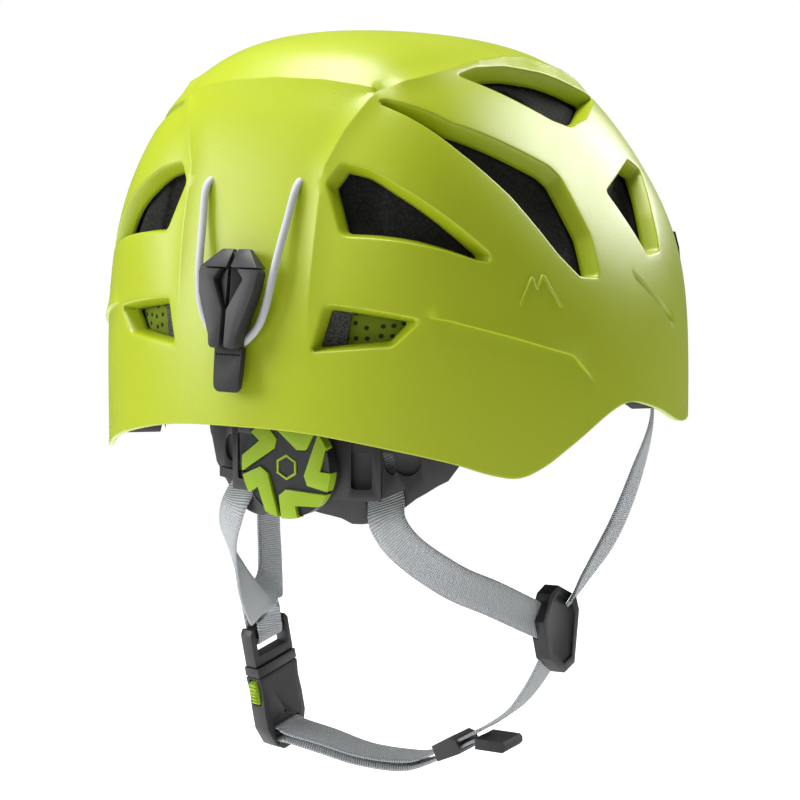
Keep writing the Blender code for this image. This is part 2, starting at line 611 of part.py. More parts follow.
BAR_X, BAR_Z0, BAR_Z1 = 2.2, 33.0, 37.0
LEG = BAR_X + 0.5 + WEB_T / 2
left_web = [((-27.5, -70.3, -15), (0.93, -0.3, 0)), ((-29.5, -69.6, -24), (0.93, -0.35, 0.1)),
            (SLOT[-1][0], SLOT[-1][1] * -1), ((-37.0, -76.5, -43), (0.9, -0.35, -0.25)),
            ((-46, -66, -58), (0.75, -0.6, -0.25)), ((-58, -38, -81), (0.35, -0.9, -0.1)),
            ((-66, -11, -101), (-0.05, -0.98, -0.15)), (on_buckle(LEG + 0.6, -0.5, 44), -W),
            (on_buckle(LEG, 0, 36.5), -W), (on_buckle(LEG, 0, 33.6), -W),
            (on_buckle(LEG * 0.71, 0, 31.2), -W), (on_buckle(0, 0, 30.2), -W),
            (on_buckle(-LEG * 0.71, 0, 31.2), -W),
            (on_buckle(-LEG, 0, 33.6), -W), (on_buckle(-LEG, 0, 36.5), -W),
            (on_buckle(-LEG - 0.8, 1, 44), -W), ((-83, 24, -96), (-0.15, -0.98, -0.1)),
            ((-91, 36, -68), (-0.15, -0.98, 0)), ((-94.5, 42, -40), (-0.2, -0.97, 0)),
            ((-95.5, 46, -10), (-0.35, -0.93, 0)), ((-94, 48, 9), (-0.4, -0.91, 0))]
right_rear = [((27.5, -70.3, -15), (0.93, 0.3, 0)), ((29.5, -69.6, -24), (0.93, 0.35, 0.1)),
              (SLOT[1][0], SLOT[1][1]), ((36.5, -76.8, -43), (0.9, 0.3, 0.3)),
              ((42, -69, -55), (0.75, 0.3, 0.55)), ((50, -47, -70), (0.45, 0.25, 0.85)),
              ((57, -26, -80), (0.25, 0.3, 0.92)), ((63, -6, -90), (0.1, 0.3, 0.95)),
              ((66.3, 4.5, -95), (0.1, 0.35, 0.93))]
right_front = [((94, 48, 9), (-0.4, 0.91, 0)), ((95, 50, -10), (-0.36, 0.93, 0)),
               ((88, 52, -34), (-0.2, 0.97, 0.1)), ((80, 46, -60), (-0.12, 0.95, 0.25)),
               ((73, 30, -80), (-0.06, 0.9, 0.4)), ((69.5, 19, -91), (-0.05, 0.9, 0.42))]
SLIDER_AT = Vector((14, 25, -160.5))
T = Vector((0.87, 0.0, 0.49)).normalized()
SN = Vector((-T.z, 0, T.x))                # up through the slider's plate
LAP = 1.6                                  # half the distance between the two layers
SOCKET_UP, SOCKET_LOW = -11.2, -17.2


def on_slider(t, y, n):
    return SLIDER_AT + T * t + Vector((0, 1, 0)) * y + SN * n


Y = Vector((0, 1, 0))
TAIL_AT = Vector((34, 25, -155.9))
chin = [((67, 12, -107.5), (0.25, 0.93, 0.25)), ((63, 12, -116), (0.25, 0.93, 0.2)),
        ((56.5, 14, -126), (0.2, 0.95, 0.15)), ((47, 18, -137), (0.1, 0.98, 0.1)),
        (on_slider(22, 0, LAP + 0.4), Y), (on_slider(14, 0, LAP), Y), (on_slider(0, 0, LAP), Y),
        (on_slider(-14, 0, LAP), Y), ((-10, 22, -168), (0, 0.99, 0.1)), ((-28, 17, -166.5), (0.05, 0.99, 0.12)),
        ((-46, 12.5, -161.5), (0.12, 0.97, 0.18)), (on_buckle(9, 0, SOCKET_UP - 1.5), W),
        (on_buckle(4.5, 0, SOCKET_UP), W), (on_buckle(-4.5, 0, SOCKET_UP), W),
        (on_buckle(-6.9, 0, SOCKET_UP - 1), W), (on_buckle(-7.9, 0, (SOCKET_UP + SOCKET_LOW) / 2), W),
        (on_buckle(-6.9, 0, SOCKET_LOW + 1), W), (on_buckle(-4.5, 0, SOCKET_LOW), W),
        (on_buckle(4.5, 0, SOCKET_LOW), W), (on_buckle(9, 0, SOCKET_LOW + 0.2), W),
        ((-46, 12.5, -165.5), (0.12, 0.97, 0.18)), ((-28, 17, -170.3), (0.05, 0.99, 0.12)),
        ((-10, 22, -171.8), (0, 0.99, 0.1)), (on_slider(-14, 0, -LAP), Y), (on_slider(0, 0, -LAP), Y),
        (on_slider(13, 0, -LAP), Y), ((30, 25, -155.4), Y), (TAIL_AT, Y)]
webs = {"side_strap_left": left_web, "rear_strap_right": right_rear, "front_strap_right": right_front,
        "chin_strap": chin}
fat = {}
for name, stations in webs.items():
    finish(name, ribbon(stations), WEBBING)
    fat[name] = cutter(f"fat_{name}", ribbon(stations, WEB_W + 0.9, WEB_T + 0.8))
boolean(cradle, fat["side_strap_left"])
boolean(cradle, fat["rear_strap_right"])
front_pocket = cutter("front_pockets", merge(*[box(20, 7.5, 60, (0, 0, 0)) for _ in range(0)],
                      *[(lambda b: (b.transform(basis(Vector((s * 94.3, 47.5, 0)), Vector((s * 0.4, -0.91, 0)).normalized(),
                        Vector((s * 0.91, 0.4, 0)).normalized(), Vector((0, 0, 1)))), b)[1])(box(19, 5.5, 34))
                        for s in (1, -1)]))
boolean(liner, front_pocket)
for s, tag in ((1, "right"), (-1, "left")):
    fr = basis(Vector((s * 94.1, 47.6, 13.0)), Vector((s * 0.4, -0.91, 0)).normalized(),
               Vector((s * 0.91, 0.4, 0)).normalized(), Vector((0, 0, 1)))
    finish(f"strap_anchor_{tag}", box(17.6, 4.2, 6.0), BLACK, fr)

# strap divider on the right cheek
d_x = Vector((0.985, -0.11, 0.05)).normalized()
d_y = Vector((0.25, 0.93, 0.25))
d_y = (d_y - d_x * d_y.dot(d_x)).normalized()
DIV = basis(Vector((68, 12, -99)), d_x, d_y, d_x.cross(d_y))
divider = finish("strap_divider", prism(((-4, 18), (3, 19), (15, 9), (15.5, 2), (5, -18), (-4, -18.5),
                                         (-13, -8), (-13, 9)), -3.4, 3.4, "X"), BLACK, DIV)
for name in ("rear_strap_right", "front_strap_right", "chin_strap"):
    boolean(divider, fat[name])

# slider and tail tab
slider = finish("strap_slider", prism(((-6.4, -2.9), (5.2, -3.9), (6.4, -1.5), (6.4, 2.0), (4.0, 4.4), (-6.0, 4.4)),
                                      -9.8, 9.8), BLACK,
                basis(SLIDER_AT, T, Y * 1.0, SN))
for k, n in (("high", LAP), ("low", -LAP)):
    boolean(slider, cutter(f"slider_way_{k}", box(30, WEB_W + 1.0, WEB_T + 0.75, (0, 0, n)),
                           basis(SLIDER_AT, T, Y * 1.0, SN)))
tail = finish("tail_tab", prism(((-6.8, -2.4), (6.6, -2.4), (7.8, -1), (7.8, 1), (6.6, 2.4), (-6.8, 2.4)),
                                -8.9, 8.9), BLACK, basis(TAIL_AT + Vector((0.6, 0, 0)), Vector((1, 0, 0)), Y,
                                                         Vector((0, 0, 1))))
boolean(tail, fat["chin_strap"])

# buckle: plug with its frame, socket with two side buttons
plug = finish("buckle_plug", prism(((-12.3, 20.7), (12.3, 20.7), (12.3, 36), (10.8, 38.2), (-10.8, 38.2),
                                    (-12.3, 36)), -3.2, 3.2, "X"), BLACK, BUCKLE)
boolean(plug, cutter("plug_tongue", prism(((-7, 22), (-7, 0), (-5.4, -2), (5.4, -2), (7, 0), (7, 22)), -1.9, 1.9, "X"),
                     BUCKLE), 'UNION')
boolean(plug, cutter("plug_window", box(12, 18.6, BAR_Z0 - 25, (0, 0, (BAR_Z0 + 25) / 2)), BUCKLE))
boolean(plug, cutter("plug_bar", merge(box(4, 19.2, 9, (BAR_X + 2, 0, BAR_Z0 + 3.7)),
                                       box(4, 19.2, 9, (-BAR_X - 2, 0, BAR_Z0 + 3.7))), BUCKLE))

socket = finish("buckle_socket", prism(((-12.5, 20.2), (12.5, 20.2), (12.5, 13.8), (11.9, 8), (12.5, 0),
                                        (12.5, -10), (9, -19), (4.5, -22.6), (-4.5, -22.6), (-9, -19),
                                        (-12.5, -10), (-12.5, 0), (-11.9, 8), (-12.5, 13.8)), -4.1, 4.1, "X"),
                BLACK, BUCKLE)
boolean(socket, cutter("socket_mouth", box(4.8, 19.8, 24, (0, 0, 9.4)), BUCKLE))
boolean(socket, cutter("button_ways", merge(box(4.6, 6, 12.8, (0, 12, 8)), box(4.6, 6, 12.8, (0, -12, 8))), BUCKLE))
boolean(socket, cutter("strap_way_high", box(14, 16.2, 3.0, (0, 0, SOCKET_UP)), BUCKLE))
boolean(socket, cutter("strap_way_low", box(14, 16.2, 3.0, (0, 0, SOCKET_LOW)), BUCKLE))
for s, tag in ((1, "front"), (-1, "rear")):
    finish(f"release_button_{tag}", prism(((s * 9.6, 2.0), (s * 13.4, 2.4), (s * 14.4, 9), (s * 13.9, 13.4), (s * 9.6, 14)),
                                          -1.95, 1.95, "X"), LIME_SOFT, BUCKLE,
           pivot=on_buckle(0, s * 11.5, 8))
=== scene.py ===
# %% [markdown]
# Set-up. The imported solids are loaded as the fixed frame. Every visible piece below is modelled in
# millimetres in that frame and scaled once at the end, so the numbers read as real sizes.

# %% set-up
import bpy, bmesh, json
import numpy as np
from math import sin, cos, atan2, radians, degrees, pi, sqrt
from mathutils import Vector, Matrix, noise
from mathutils.geometry import delaunay_2d_cdt


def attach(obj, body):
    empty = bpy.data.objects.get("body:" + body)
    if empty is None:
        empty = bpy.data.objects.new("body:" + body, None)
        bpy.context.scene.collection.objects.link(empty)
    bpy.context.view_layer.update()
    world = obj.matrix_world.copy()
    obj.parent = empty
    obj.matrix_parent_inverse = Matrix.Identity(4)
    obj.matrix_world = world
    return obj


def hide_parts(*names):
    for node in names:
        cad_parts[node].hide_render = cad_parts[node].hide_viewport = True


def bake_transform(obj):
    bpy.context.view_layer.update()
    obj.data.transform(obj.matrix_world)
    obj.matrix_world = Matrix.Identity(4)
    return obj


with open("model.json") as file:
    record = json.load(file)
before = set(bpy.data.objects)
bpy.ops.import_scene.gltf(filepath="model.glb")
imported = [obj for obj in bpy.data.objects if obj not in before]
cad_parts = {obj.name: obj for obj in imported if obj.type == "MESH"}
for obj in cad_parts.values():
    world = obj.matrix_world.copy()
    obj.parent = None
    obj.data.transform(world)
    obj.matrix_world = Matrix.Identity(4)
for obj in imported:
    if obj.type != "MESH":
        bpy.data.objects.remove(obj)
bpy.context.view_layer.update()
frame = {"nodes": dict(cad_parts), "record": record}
MM = 0.001
print("nodes in the frame:", len(frame["nodes"]))

# %% [markdown]
# The camera stands behind the helmet on the wearer's right, a little above it, with a long lens so that
# the dome isn't stretched.

# %% camera
AZ, EL, DIST = radians(29), radians(7), 955.0
toward = Vector((sin(AZ) * cos(EL), -cos(AZ) * cos(EL), sin(EL)))
side = Vector((cos(AZ), sin(AZ), 0))
target = side * -0.7 + Vector((0, 0, -3.9))
cam_data = bpy.data.cameras.new("camera")
cam_data.lens, cam_data.sensor_width = 100, 36
cam_data.clip_start, cam_data.clip_end = 0.01, 20
cam = bpy.data.objects.new("camera", cam_data)
bpy.context.scene.collection.objects.link(cam)
cam.location = (target + toward * DIST) * MM
cam.rotation_euler = toward.to_track_quat('Z', 'Y').to_euler()
bpy.context.scene.camera = cam

# %% [markdown]
# Materials. Each one is a Principled surface with procedural colour and grain, read in object
# coordinates, so the grain has a real size: moulded plastic gets a fine spark-eroded texture, foam gets
# fused beads, webbing gets woven ribs. Grain sizes are in millimetres.

# %% material helpers
def shader(name, rgb, rough, metal=0.0, coat=0.0):
    m = bpy.data.materials.new(name)
    m.use_nodes = True
    b = m.node_tree.nodes["Principled BSDF"]
    b.inputs["Base Color"].default_value = (*rgb, 1)
    b.inputs["Roughness"].default_value = rough
    b.inputs["Metallic"].default_value = metal
    b.inputs["Coat Weight"].default_value = coat
    b.inputs["Coat Roughness"].default_value = 0.25
    return m, m.node_tree, b


def link(nt, a, out, b, inp):
    nt.links.new(a.outputs[out], b.inputs[inp])


def noise_at(nt, size, detail=2.0, rough=0.5, coord=None):
    """Noise with features of that size in millimetres."""
    if coord is None:
        coord = nt.nodes.new("ShaderNodeTexCoord")
        coord.name = "place"
    n = nt.nodes.new("ShaderNodeTexNoise")
    n.inputs["Scale"].default_value = 1 / (size * MM)
    n.inputs["Detail"].default_value = detail
    n.inputs["Roughness"].default_value = rough
    nt.links.new(coord.outputs["Object"], n.inputs["Vector"])
    return n, coord


def ramp(nt, source, out, lo, hi, a, b):
    r = nt.nodes.new("ShaderNodeMapRange")
    r.inputs["From Min"].default_value, r.inputs["From Max"].default_value = lo, hi
    r.inputs["To Min"].default_value, r.inputs["To Max"].default_value = a, b
    nt.links.new(source.outputs[out], r.inputs["Value"])
    return r


def moulded(name, rgb, rough, grain=0.35, depth=0.02, mottled=0.12, coat=0.0):
    """Moulded plastic or rubber with a fine grain and faint wear in its gloss."""
    m, nt, b = shader(name, rgb, rough, coat=coat)
    fine, coord = noise_at(nt, grain, 3, 0.6)
    bump = nt.nodes.new("ShaderNodeBump")
    bump.inputs["Strength"].default_value = 0.6
    bump.inputs["Distance"].default_value = depth * MM
    link(nt, fine, "Fac", bump, "Height")
    link(nt, bump, "Normal", b, "Normal")
    wide, _ = noise_at(nt, 18, 2, 0.5, coord)
    r = ramp(nt, wide, "Fac", 0.3, 0.7, rough * (1 - mottled), rough * (1 + mottled))
    link(nt, r, "Result", b, "Roughness")
    return m


def foam(name, rgb, bead, rough=0.92, depth=0.25):
    """Beaded or knitted surface: cells of one size with dark joints."""
    m, nt, b = shader(name, rgb, rough)
    coord = nt.nodes.new("ShaderNodeTexCoord")
    v = nt.nodes.new("ShaderNodeTexVoronoi")
    v.inputs["Scale"].default_value = 1 / (bead * MM)
    link(nt, coord, "Object", v, "Vector")
    bump = nt.nodes.new("ShaderNodeBump")
    bump.inputs["Strength"].default_value = 0.8
    bump.inputs["Distance"].default_value = depth * MM
    bump.invert = True
    link(nt, v, "Distance", bump, "Height")
    link(nt, bump, "Normal", b, "Normal")
    mix = nt.nodes.new("ShaderNodeMixRGB")
    mix.inputs[1].default_value = (*[min(1, c * 1.5) for c in rgb], 1)
    mix.inputs[2].default_value = (*[c * 0.45 for c in rgb], 1)
    r = ramp(nt, v, "Distance", 0.2, 0.75, 0, 1)
    link(nt, r, "Result", mix, 0)
    link(nt, mix, 0, b, "Base Color")
    return m


LIME = moulded("lime_shell", (0.47, 0.57, 0.016), 0.36, 0.55, 0.13, 0.08, coat=0.15)
LIME_PART = moulded("lime_part", (0.33, 0.50, 0.006), 0.42, 0.4, 0.02)
BLACK = moulded("black_nylon", (0.018, 0.018, 0.020), 0.42, 0.35, 0.03)
GREY = moulded("grey_nylon", (0.040, 0.040, 0.043), 0.46, 0.4, 0.03)
GRIT = moulded("grit_rubber", (0.022, 0.022, 0.024), 0.62, 0.8, 0.18)
FOAM = foam("foam_beads", (0.013, 0.013, 0.0145), 1.5, depth=0.3)
PAD = foam("pad_knit", (0.070, 0.070, 0.074), 0.9, depth=0.12)

# %% [markdown]
# Helpers for the pieces. A bmesh in millimetres becomes an object at the origin; edges sharper than a
# limit stay crisp and the rest shade smoothly. Rounding every moulded edge a little is what makes a
# plastic part catch the light like a real one.

# %% piece helpers
def put(name, bm, mat, body=None, replaces=(), crisp=38):
    if all(e.is_manifold for e in bm.edges):
        bmesh.ops.recalc_face_normals(bm, faces=bm.faces)
        if bm.calc_volume(signed=True) < 0:
            bmesh.ops.reverse_faces(bm, faces=bm.faces)
    for f in bm.faces:
        f.smooth = True
    for e in bm.edges:
        e.smooth = len(e.link_faces) != 2 or e.calc_face_angle(0) < radians(crisp)
    bm.transform(Matrix.Scale(MM, 4))
    me = bpy.data.meshes.new(name)
    bm.to_mesh(me)
    bm.free()
    ob = bpy.data.objects.new(name, me)
    bpy.context.scene.collection.objects.link(ob)
    for m in (mat if isinstance(mat, (list, tuple)) else [mat]):
        me.materials.append(m)
    if body:
        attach(ob, body)
    if replaces:
        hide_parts(*replaces)
    return ob


def round_edges(bm, width, segments=2, angle=35, edges=None):
    es = edges or [e for e in bm.edges if len(e.link_faces) == 2 and e.calc_face_angle(0) > radians(angle)]
    if es:
        bmesh.ops.bevel(bm, geom=es, offset=width, segments=segments, profile=0.5, affect='EDGES',
                        clamp_overlap=True, material=-1)
    return bm


def of_node(node):
    """The solid of a CAD node as a bmesh in millimetres, its flat faces joined up again."""
    bm = bmesh.new()
    bm.from_mesh(frame["nodes"][node].data)
    bm.transform(Matrix.Scale(1000, 4))
    bmesh.ops.remove_doubles(bm, verts=bm.verts, dist=0.002)
    bmesh.ops.dissolve_limit(bm, angle_limit=radians(0.8), verts=bm.verts, edges=bm.edges)
    return bm


def soften(node, width, mat, angle=35, segments=2):
    """The CAD part with its edges rounded as the mould leaves them."""
    bm = round_edges(of_node(node), width, segments, angle)
    body = next(b for b, ns in frame["record"]["behaviour"]["bodies"].items() if node in ns)
    return put(node + "_look", bm, mat, body, [node])


def prism(outline, lo, hi, axis="Y"):
    """A flat outline extruded between two heights."""
    bm = bmesh.new()
    order = {"Y": lambda a, b, h: (a, h, b), "X": lambda a, b, h: (h, a, b),
             "Z": lambda a, b, h: (a, b, h)}[axis]
    face = bm.faces.new([bm.verts.new(order(a, b, lo)) for a, b in outline])
    out = bmesh.ops.extrude_face_region(bm, geom=[face])
    bmesh.ops.translate(bm, vec=order(0, 0, hi - lo),
                        verts=[g for g in out["geom"] if isinstance(g, bmesh.types.BMVert)])
    bmesh.ops.recalc_face_normals(bm, faces=bm.faces)
    return bm


def box(sx, sy, sz, at=(0, 0, 0)):
    bm = bmesh.new()
    bmesh.ops.create_cube(bm, size=1)
    bm.transform(Matrix.Translation(Vector(at)) @ Matrix.Diagonal((sx, sy, sz, 1)))
    return bm


def drum(r, length, at=(0, 0, 0), segs=48, r2=None):
    """Disc or cone along Y."""
    bm = bmesh.new()
    bmesh.ops.create_cone(bm, cap_ends=True, segments=segs, radius1=r, radius2=r if r2 is None else r2,
                          depth=length)
    bm.transform(Matrix.Translation(Vector(at)) @ Matrix.Rotation(pi / 2, 4, 'X'))
    return bm


def join(*bms):
    out = bmesh.new()
    for b in bms:
        me = bpy.data.meshes.new("part")
        b.to_mesh(me)
        out.from_mesh(me)
        bpy.data.meshes.remove(me)
        b.free()
    return out


def carve(bm, tool, op='DIFFERENCE'):
    """Exact boolean of two closed shapes."""
    obs = []
    for b in (bm, tool):
        bmesh.ops.recalc_face_normals(b, faces=b.faces)
        me = bpy.data.meshes.new("cut")
        b.to_mesh(me)
        b.free()
        o = bpy.data.objects.new("cut", me)
        bpy.context.scene.collection.objects.link(o)
        obs.append(o)
    m = obs[0].modifiers.new("cut", 'BOOLEAN')
    m.operation, m.solver, m.object = op, 'EXACT', obs[1]
    me = bpy.data.meshes.new_from_object(obs[0].evaluated_get(bpy.context.evaluated_depsgraph_get()))
    out = bmesh.new()
    out.from_mesh(me)
    bpy.data.meshes.remove(me)
    for o in obs:
        bpy.data.objects.remove(o)
    return out


def basis(origin, x, y, z):
    m = Matrix((x, y, z)).transposed().to_4x4()
    m.translation = origin
    return m


# %% [markdown]
# The dome. One function gives the outer skin in every direction: an oval plan raised to a crown, with
# shallow flats pressed in by a soft maximum, which is how the moulded panels meet in rounded creases.

# %% dome
HALF_WIDTH, HALF_LENGTH, CROWN = 120.6, 132.4, 155.2
PLAN_POWER, WALL_POWER, BLEND = 2.0, 4.3, 14
FLATS = ((0, 18, 142.5), (0, 75, 185), (83.4, 29.3, 127.6), (45, 28.7, 178.4), (135, 32, 142.6),
         (180, 32, 153.7), (78.7, 59.3, 163.3), (180, 66.4, 153.7))
RIM = ((0, 0), (12, -1), (23, -5), (36.5, -12), (45, -18), (50, -19.5), (55, -16), (61, -9), (71, 2),
       (77.5, 5), (87, 1), (101, -8), (115, -9), (140, -6), (180, -2))


def heading(az, el):
    """Unit direction; azimuth runs from the rear towards the wearer's right. Arrays are welcome."""
    a, e = np.radians(az), np.radians(el)
    return np.stack([np.sin(a) * np.cos(e), -np.cos(a) * np.cos(e), np.sin(e) + 0 * a], -1)


FLAT_LIST = [(heading(s * az, tilt), dist) for az, tilt, dist in FLATS
             for s in ((1, -1) if az % 180 else (1,))]


def reach(p):
    p = np.asarray(p, float)
    h = ((np.abs(p[..., 0]) / HALF_WIDTH) ** PLAN_POWER + (np.abs(p[..., 1]) / HALF_LENGTH) ** PLAN_POWER) \
        ** (1 / PLAN_POWER)
    f = (h ** WALL_POWER + (np.maximum(p[..., 2], 0) / CROWN) ** WALL_POWER) ** (BLEND / WALL_POWER)
    for n, dist in FLAT_LIST:
        f = f + np.maximum(0.0, p @ n / dist) ** BLEND
    return f ** (1 / BLEND)


def dome(az, el, inward=0.0):
    d = heading(np.asarray(az, float), np.asarray(el, float))
    return d * (1 / reach(d) - inward)[..., None]


def angles(p):
    p = np.asarray(p, float)
    return (np.degrees(np.arctan2(p[..., 0], -p[..., 1])),
            np.degrees(np.arcsin(np.clip(p[..., 2] / np.linalg.norm(p, axis=-1), -1, 1))))


def rim_el(az, rise=0.0):
    a = np.abs(np.asarray(az, float))
    xs, zs = np.array(RIM, float).T
    m = np.r_[0, (zs[2:] - zs[:-2]) / (xs[2:] - xs[:-2]), 0]
    k = np.clip(np.searchsorted(xs, a) - 1, 0, len(xs) - 2)
    w = xs[k + 1] - xs[k]
    t = (a - xs[k]) / w
    z = ((2 * t ** 3 - 3 * t * t + 1) * zs[k] + (t ** 3 - 2 * t * t + t) * m[k] * w
         + (3 * t * t - 2 * t ** 3) * zs[k + 1] + (t ** 3 - t * t) * m[k + 1] * w)
    return np.degrees(np.arctan2(z + rise, np.linalg.norm(dome(az, 0 * a), axis=-1)))


def back_y(x, z, out=0.0):
    """Where the rear skin is, at a given X and Z."""
    near, far = -60.0, -170.0
    for _ in range(40):
        mid = (near + far) / 2
        near, far = (mid, far) if reach((x, mid, z)) < 1 else (near, mid)
    return near - out


# %% [markdown]
# Drawing on the dome. Outlines are given by azimuth and elevation, laid on the skin, and their corners
# rounded. The offset lines on both sides of an outline carry the rolled edge of each vent, so the edge
# is as clean as its drawing. The skin is triangulated in a flat chart of the dome around the crown.

# %% outlines and offsets
def resample(pts, step, closed=True):
    pts = np.asarray(pts, float)
    if closed:
        pts = np.vstack([pts, pts[:1]])
    d = np.r_[0, np.cumsum(np.linalg.norm(np.diff(pts, axis=0), axis=1))]
    n = max(6, int(round(d[-1] / step)))
    at = np.linspace(0, d[-1], n + 1)
    out = np.stack([np.interp(at, d, pts[:, k]) for k in range(3)], -1)
    return out[:-1] if closed else out


def on_dome(p):
    return dome(*angles(p))


def rounded_outline(corners, radius=1.7, step=1.3, side=1):
    """Closed outline on the skin with each corner turned into a short curve."""
    c = dome([side * a for a, _ in corners], [e for _, e in corners])
    if side < 0:
        c = c[::-1]
    out, n = [], len(c)
    for i in range(n):
        p, a, b = c[i], c[i - 1], c[(i + 1) % n]
        ra = min(radius, 0.45 * np.linalg.norm(a - p))
        rb = min(radius, 0.45 * np.linalg.norm(b - p))
        s, e = p + (a - p) / np.linalg.norm(a - p) * ra, p + (b - p) / np.linalg.norm(b - p) * rb
        for t in (0, 0.25, 0.5, 0.75, 1):
            out.append((1 - t) ** 2 * s + 2 * t * (1 - t) * p + t * t * e)
    return on_dome(resample(out, step))


def normals(p):
    """Outward normal of the skin, from the slope of reach()."""
    g = np.stack([(reach(p + d) - reach(p - d)) for d in np.eye(3) * 0.4], -1)
    return g / np.linalg.norm(g, axis=-1, keepdims=True)


def offset(loop, dist, closed=True):
    """The line moved sideways over the skin; points that would cross the line again are dropped."""
    if closed:
        t = np.roll(loop, -1, 0) - np.roll(loop, 1, 0)
    else:
        t = np.gradient(loop, axis=0)
    t /= np.linalg.norm(t, axis=1, keepdims=True)
    q = on_dome(loop + np.cross(t, normals(loop)) * dist)
    keep = distance(q, [loop], closed)[0] > abs(dist) * 0.93
    return q[keep]


def distance(p, loops, closed=True):
    """Distance from each point to the nearest line, and which line."""
    best, which = np.full(len(p), 1e9), np.zeros(len(p), int)
    for i, loop in enumerate(loops):
        a = loop if closed else loop[:-1]
        b = np.roll(loop, -1, 0) if closed else loop[1:]
        ab = b - a
        for lo in range(0, len(p), 4000):
            q = p[lo:lo + 4000]
            t = np.clip(((q[:, None] - a) * ab).sum(-1) / (ab * ab).sum(-1), 0, 1)
            d = np.linalg.norm(q[:, None] - a - ab * t[..., None], axis=-1).min(1)
            hit = d < best[lo:lo + 4000]
            best[lo:lo + 4000][hit] = d[hit]
            which[lo:lo + 4000][hit] = i
    return best, which


def chart(p):
    az, el = angles(p)
    a, r = np.radians(az), 90 - el
    return np.stack([r * np.sin(a), -r * np.cos(a)], -1)


def inside(p, loop):
    """Which points lie within the closed loop, in the chart."""
    q, c = chart(p), chart(loop)
    x, y = q[:, 0][:, None], q[:, 1][:, None]
    ax, ay = c.T
    bx, by = np.roll(c, -1, 0).T
    cross = (ay > y) != (by > y)
    with np.errstate(divide='ignore', invalid='ignore'):
        hit = cross & (x < (bx - ax) * (y - ay) / (by - ay) + ax)
    return hit.sum(1) % 2 == 1


# %% [markdown]
# Triangulating a sheet. Grid points fill the open skin, every drawn line goes in as an edge, and the
# Delaunay routine joins them. Faces inside a hole or below the rim are dropped.

# %% sheet builder
def signed(p, loops):
    """Distance to the nearest hole outline, negative inside it."""
    if not loops:
        return np.full(len(p), 1e9)
    d, _ = distance(p, loops)
    hole = np.zeros(len(p), bool)
    for loop in loops:
        hole |= inside(p, loop)
    return np.where(hole, -d, d)


def build_sheet(loops, steps, lines, place, cut, spacing=2.5, rise=0.0, margin=2.6):
    """loops: hole outlines; steps: offsets drawn beside them; lines: (line, offsets) for creases;
    place: moves skin points to the sheet; cut: holes start at this signed distance."""
    pts, edges = [], []

    def add(line, closed):
        k = sum(len(q) for q in pts)
        pts.append(line)
        n = len(line)
        edges.extend((k + i, k + (i + 1) % n) for i in range(n if closed else n - 1))

    az = np.arange(0, 360, 0.6) - 179.7
    for extra in (0, 0.7, 2.0):
        add(dome(az, rim_el(az, rise + extra)), True)
    for loop in loops:
        for s in steps:
            q = loop if s == 0 else offset(loop, s)
            if len(q) > 5:
                gap = np.linalg.norm(q - np.roll(q, -1, 0), axis=1)
                if gap.max() < 6:
                    add(q, True)
                else:
                    pts.append(q)
    for line, offs in lines:
        for s in offs:
            q = line if s == 0 else offset(line, s, False)
            q = q[signed(q, loops) > margin + 0.2]
            if len(q) > 3:
                gap = np.linalg.norm(np.diff(q, axis=0), axis=1)
                for part in np.split(q, np.where(gap > 5)[0] + 1):
                    if len(part) > 2:
                        add(part, False)
    grid = []
    for el in np.arange(88.8, -12, -spacing / 2.35):
        n = max(6, int(2 * pi * 128 * cos(radians(el)) / spacing))
        a = (np.arange(n) + 0.5 * (int(el * 10) % 2)) * 360 / n - 180
        grid.append(np.stack([a, np.full(n, el)], -1))
    grid = np.vstack(grid + [[[0, 89.99]]])
    grid = grid[grid[:, 1] > rim_el(grid[:, 0], rise + 3.4)]
    g = dome(grid[:, 0], grid[:, 1])
    ok = signed(g, loops) > margin
    for line, offs in lines:
        ok &= distance(g, [line], False)[0] > max(abs(o) for o in offs) + 1.0
    pts.append(g[ok])
    p = np.vstack(pts)
    flat = [Vector(q) for q in chart(p)]
    v, _, faces, *_ = delaunay_2d_cdt(flat, edges, [], 0, 1e-5)
    q = np.array([(c.x, c.y) for c in v])
    el = 90 - np.hypot(q[:, 0], q[:, 1])
    skin = dome(np.degrees(np.arctan2(q[:, 0], -q[:, 1])), el)
    sd = signed(skin, loops)
    low = el < rim_el(np.degrees(np.arctan2(q[:, 0], -q[:, 1])), rise) - 0.02
    bm = bmesh.new()
    verts = [bm.verts.new(c) for c in place(skin, sd)]
    for f in faces:
        idx = list(f)
        if all(sd[i] < cut for i in idx):
            continue
        mid = q[idx].mean(0)
        m_az, m_el = degrees(atan2(mid[0], -mid[1])), 90 - sqrt(mid[0] ** 2 + mid[1] ** 2)
        if any(low[i] for i in idx) or m_el < float(rim_el(m_az, rise)) - 0.01:
            continue
        bm.faces.new([verts[i] for i in idx])
    bmesh.ops.delete(bm, geom=[x for x in bm.verts if not x.link_faces], context='VERTS')
    bmesh.ops.recalc_face_normals(bm, faces=bm.faces)
    if max(bm.faces, key=lambda f: f.calc_center_median().z).normal.z < 0:
        bmesh.ops.reverse_faces(bm, faces=bm.faces)
    return bm


# %% [markdown]
# The shell's vents and creases. The vents are mirrored. Creases are low ridges and steps about a
# millimetre high, moulded where the crown plate, the rear panel and the sides meet, and they fade out at
# their ends. Such creases stiffen a thin shell.

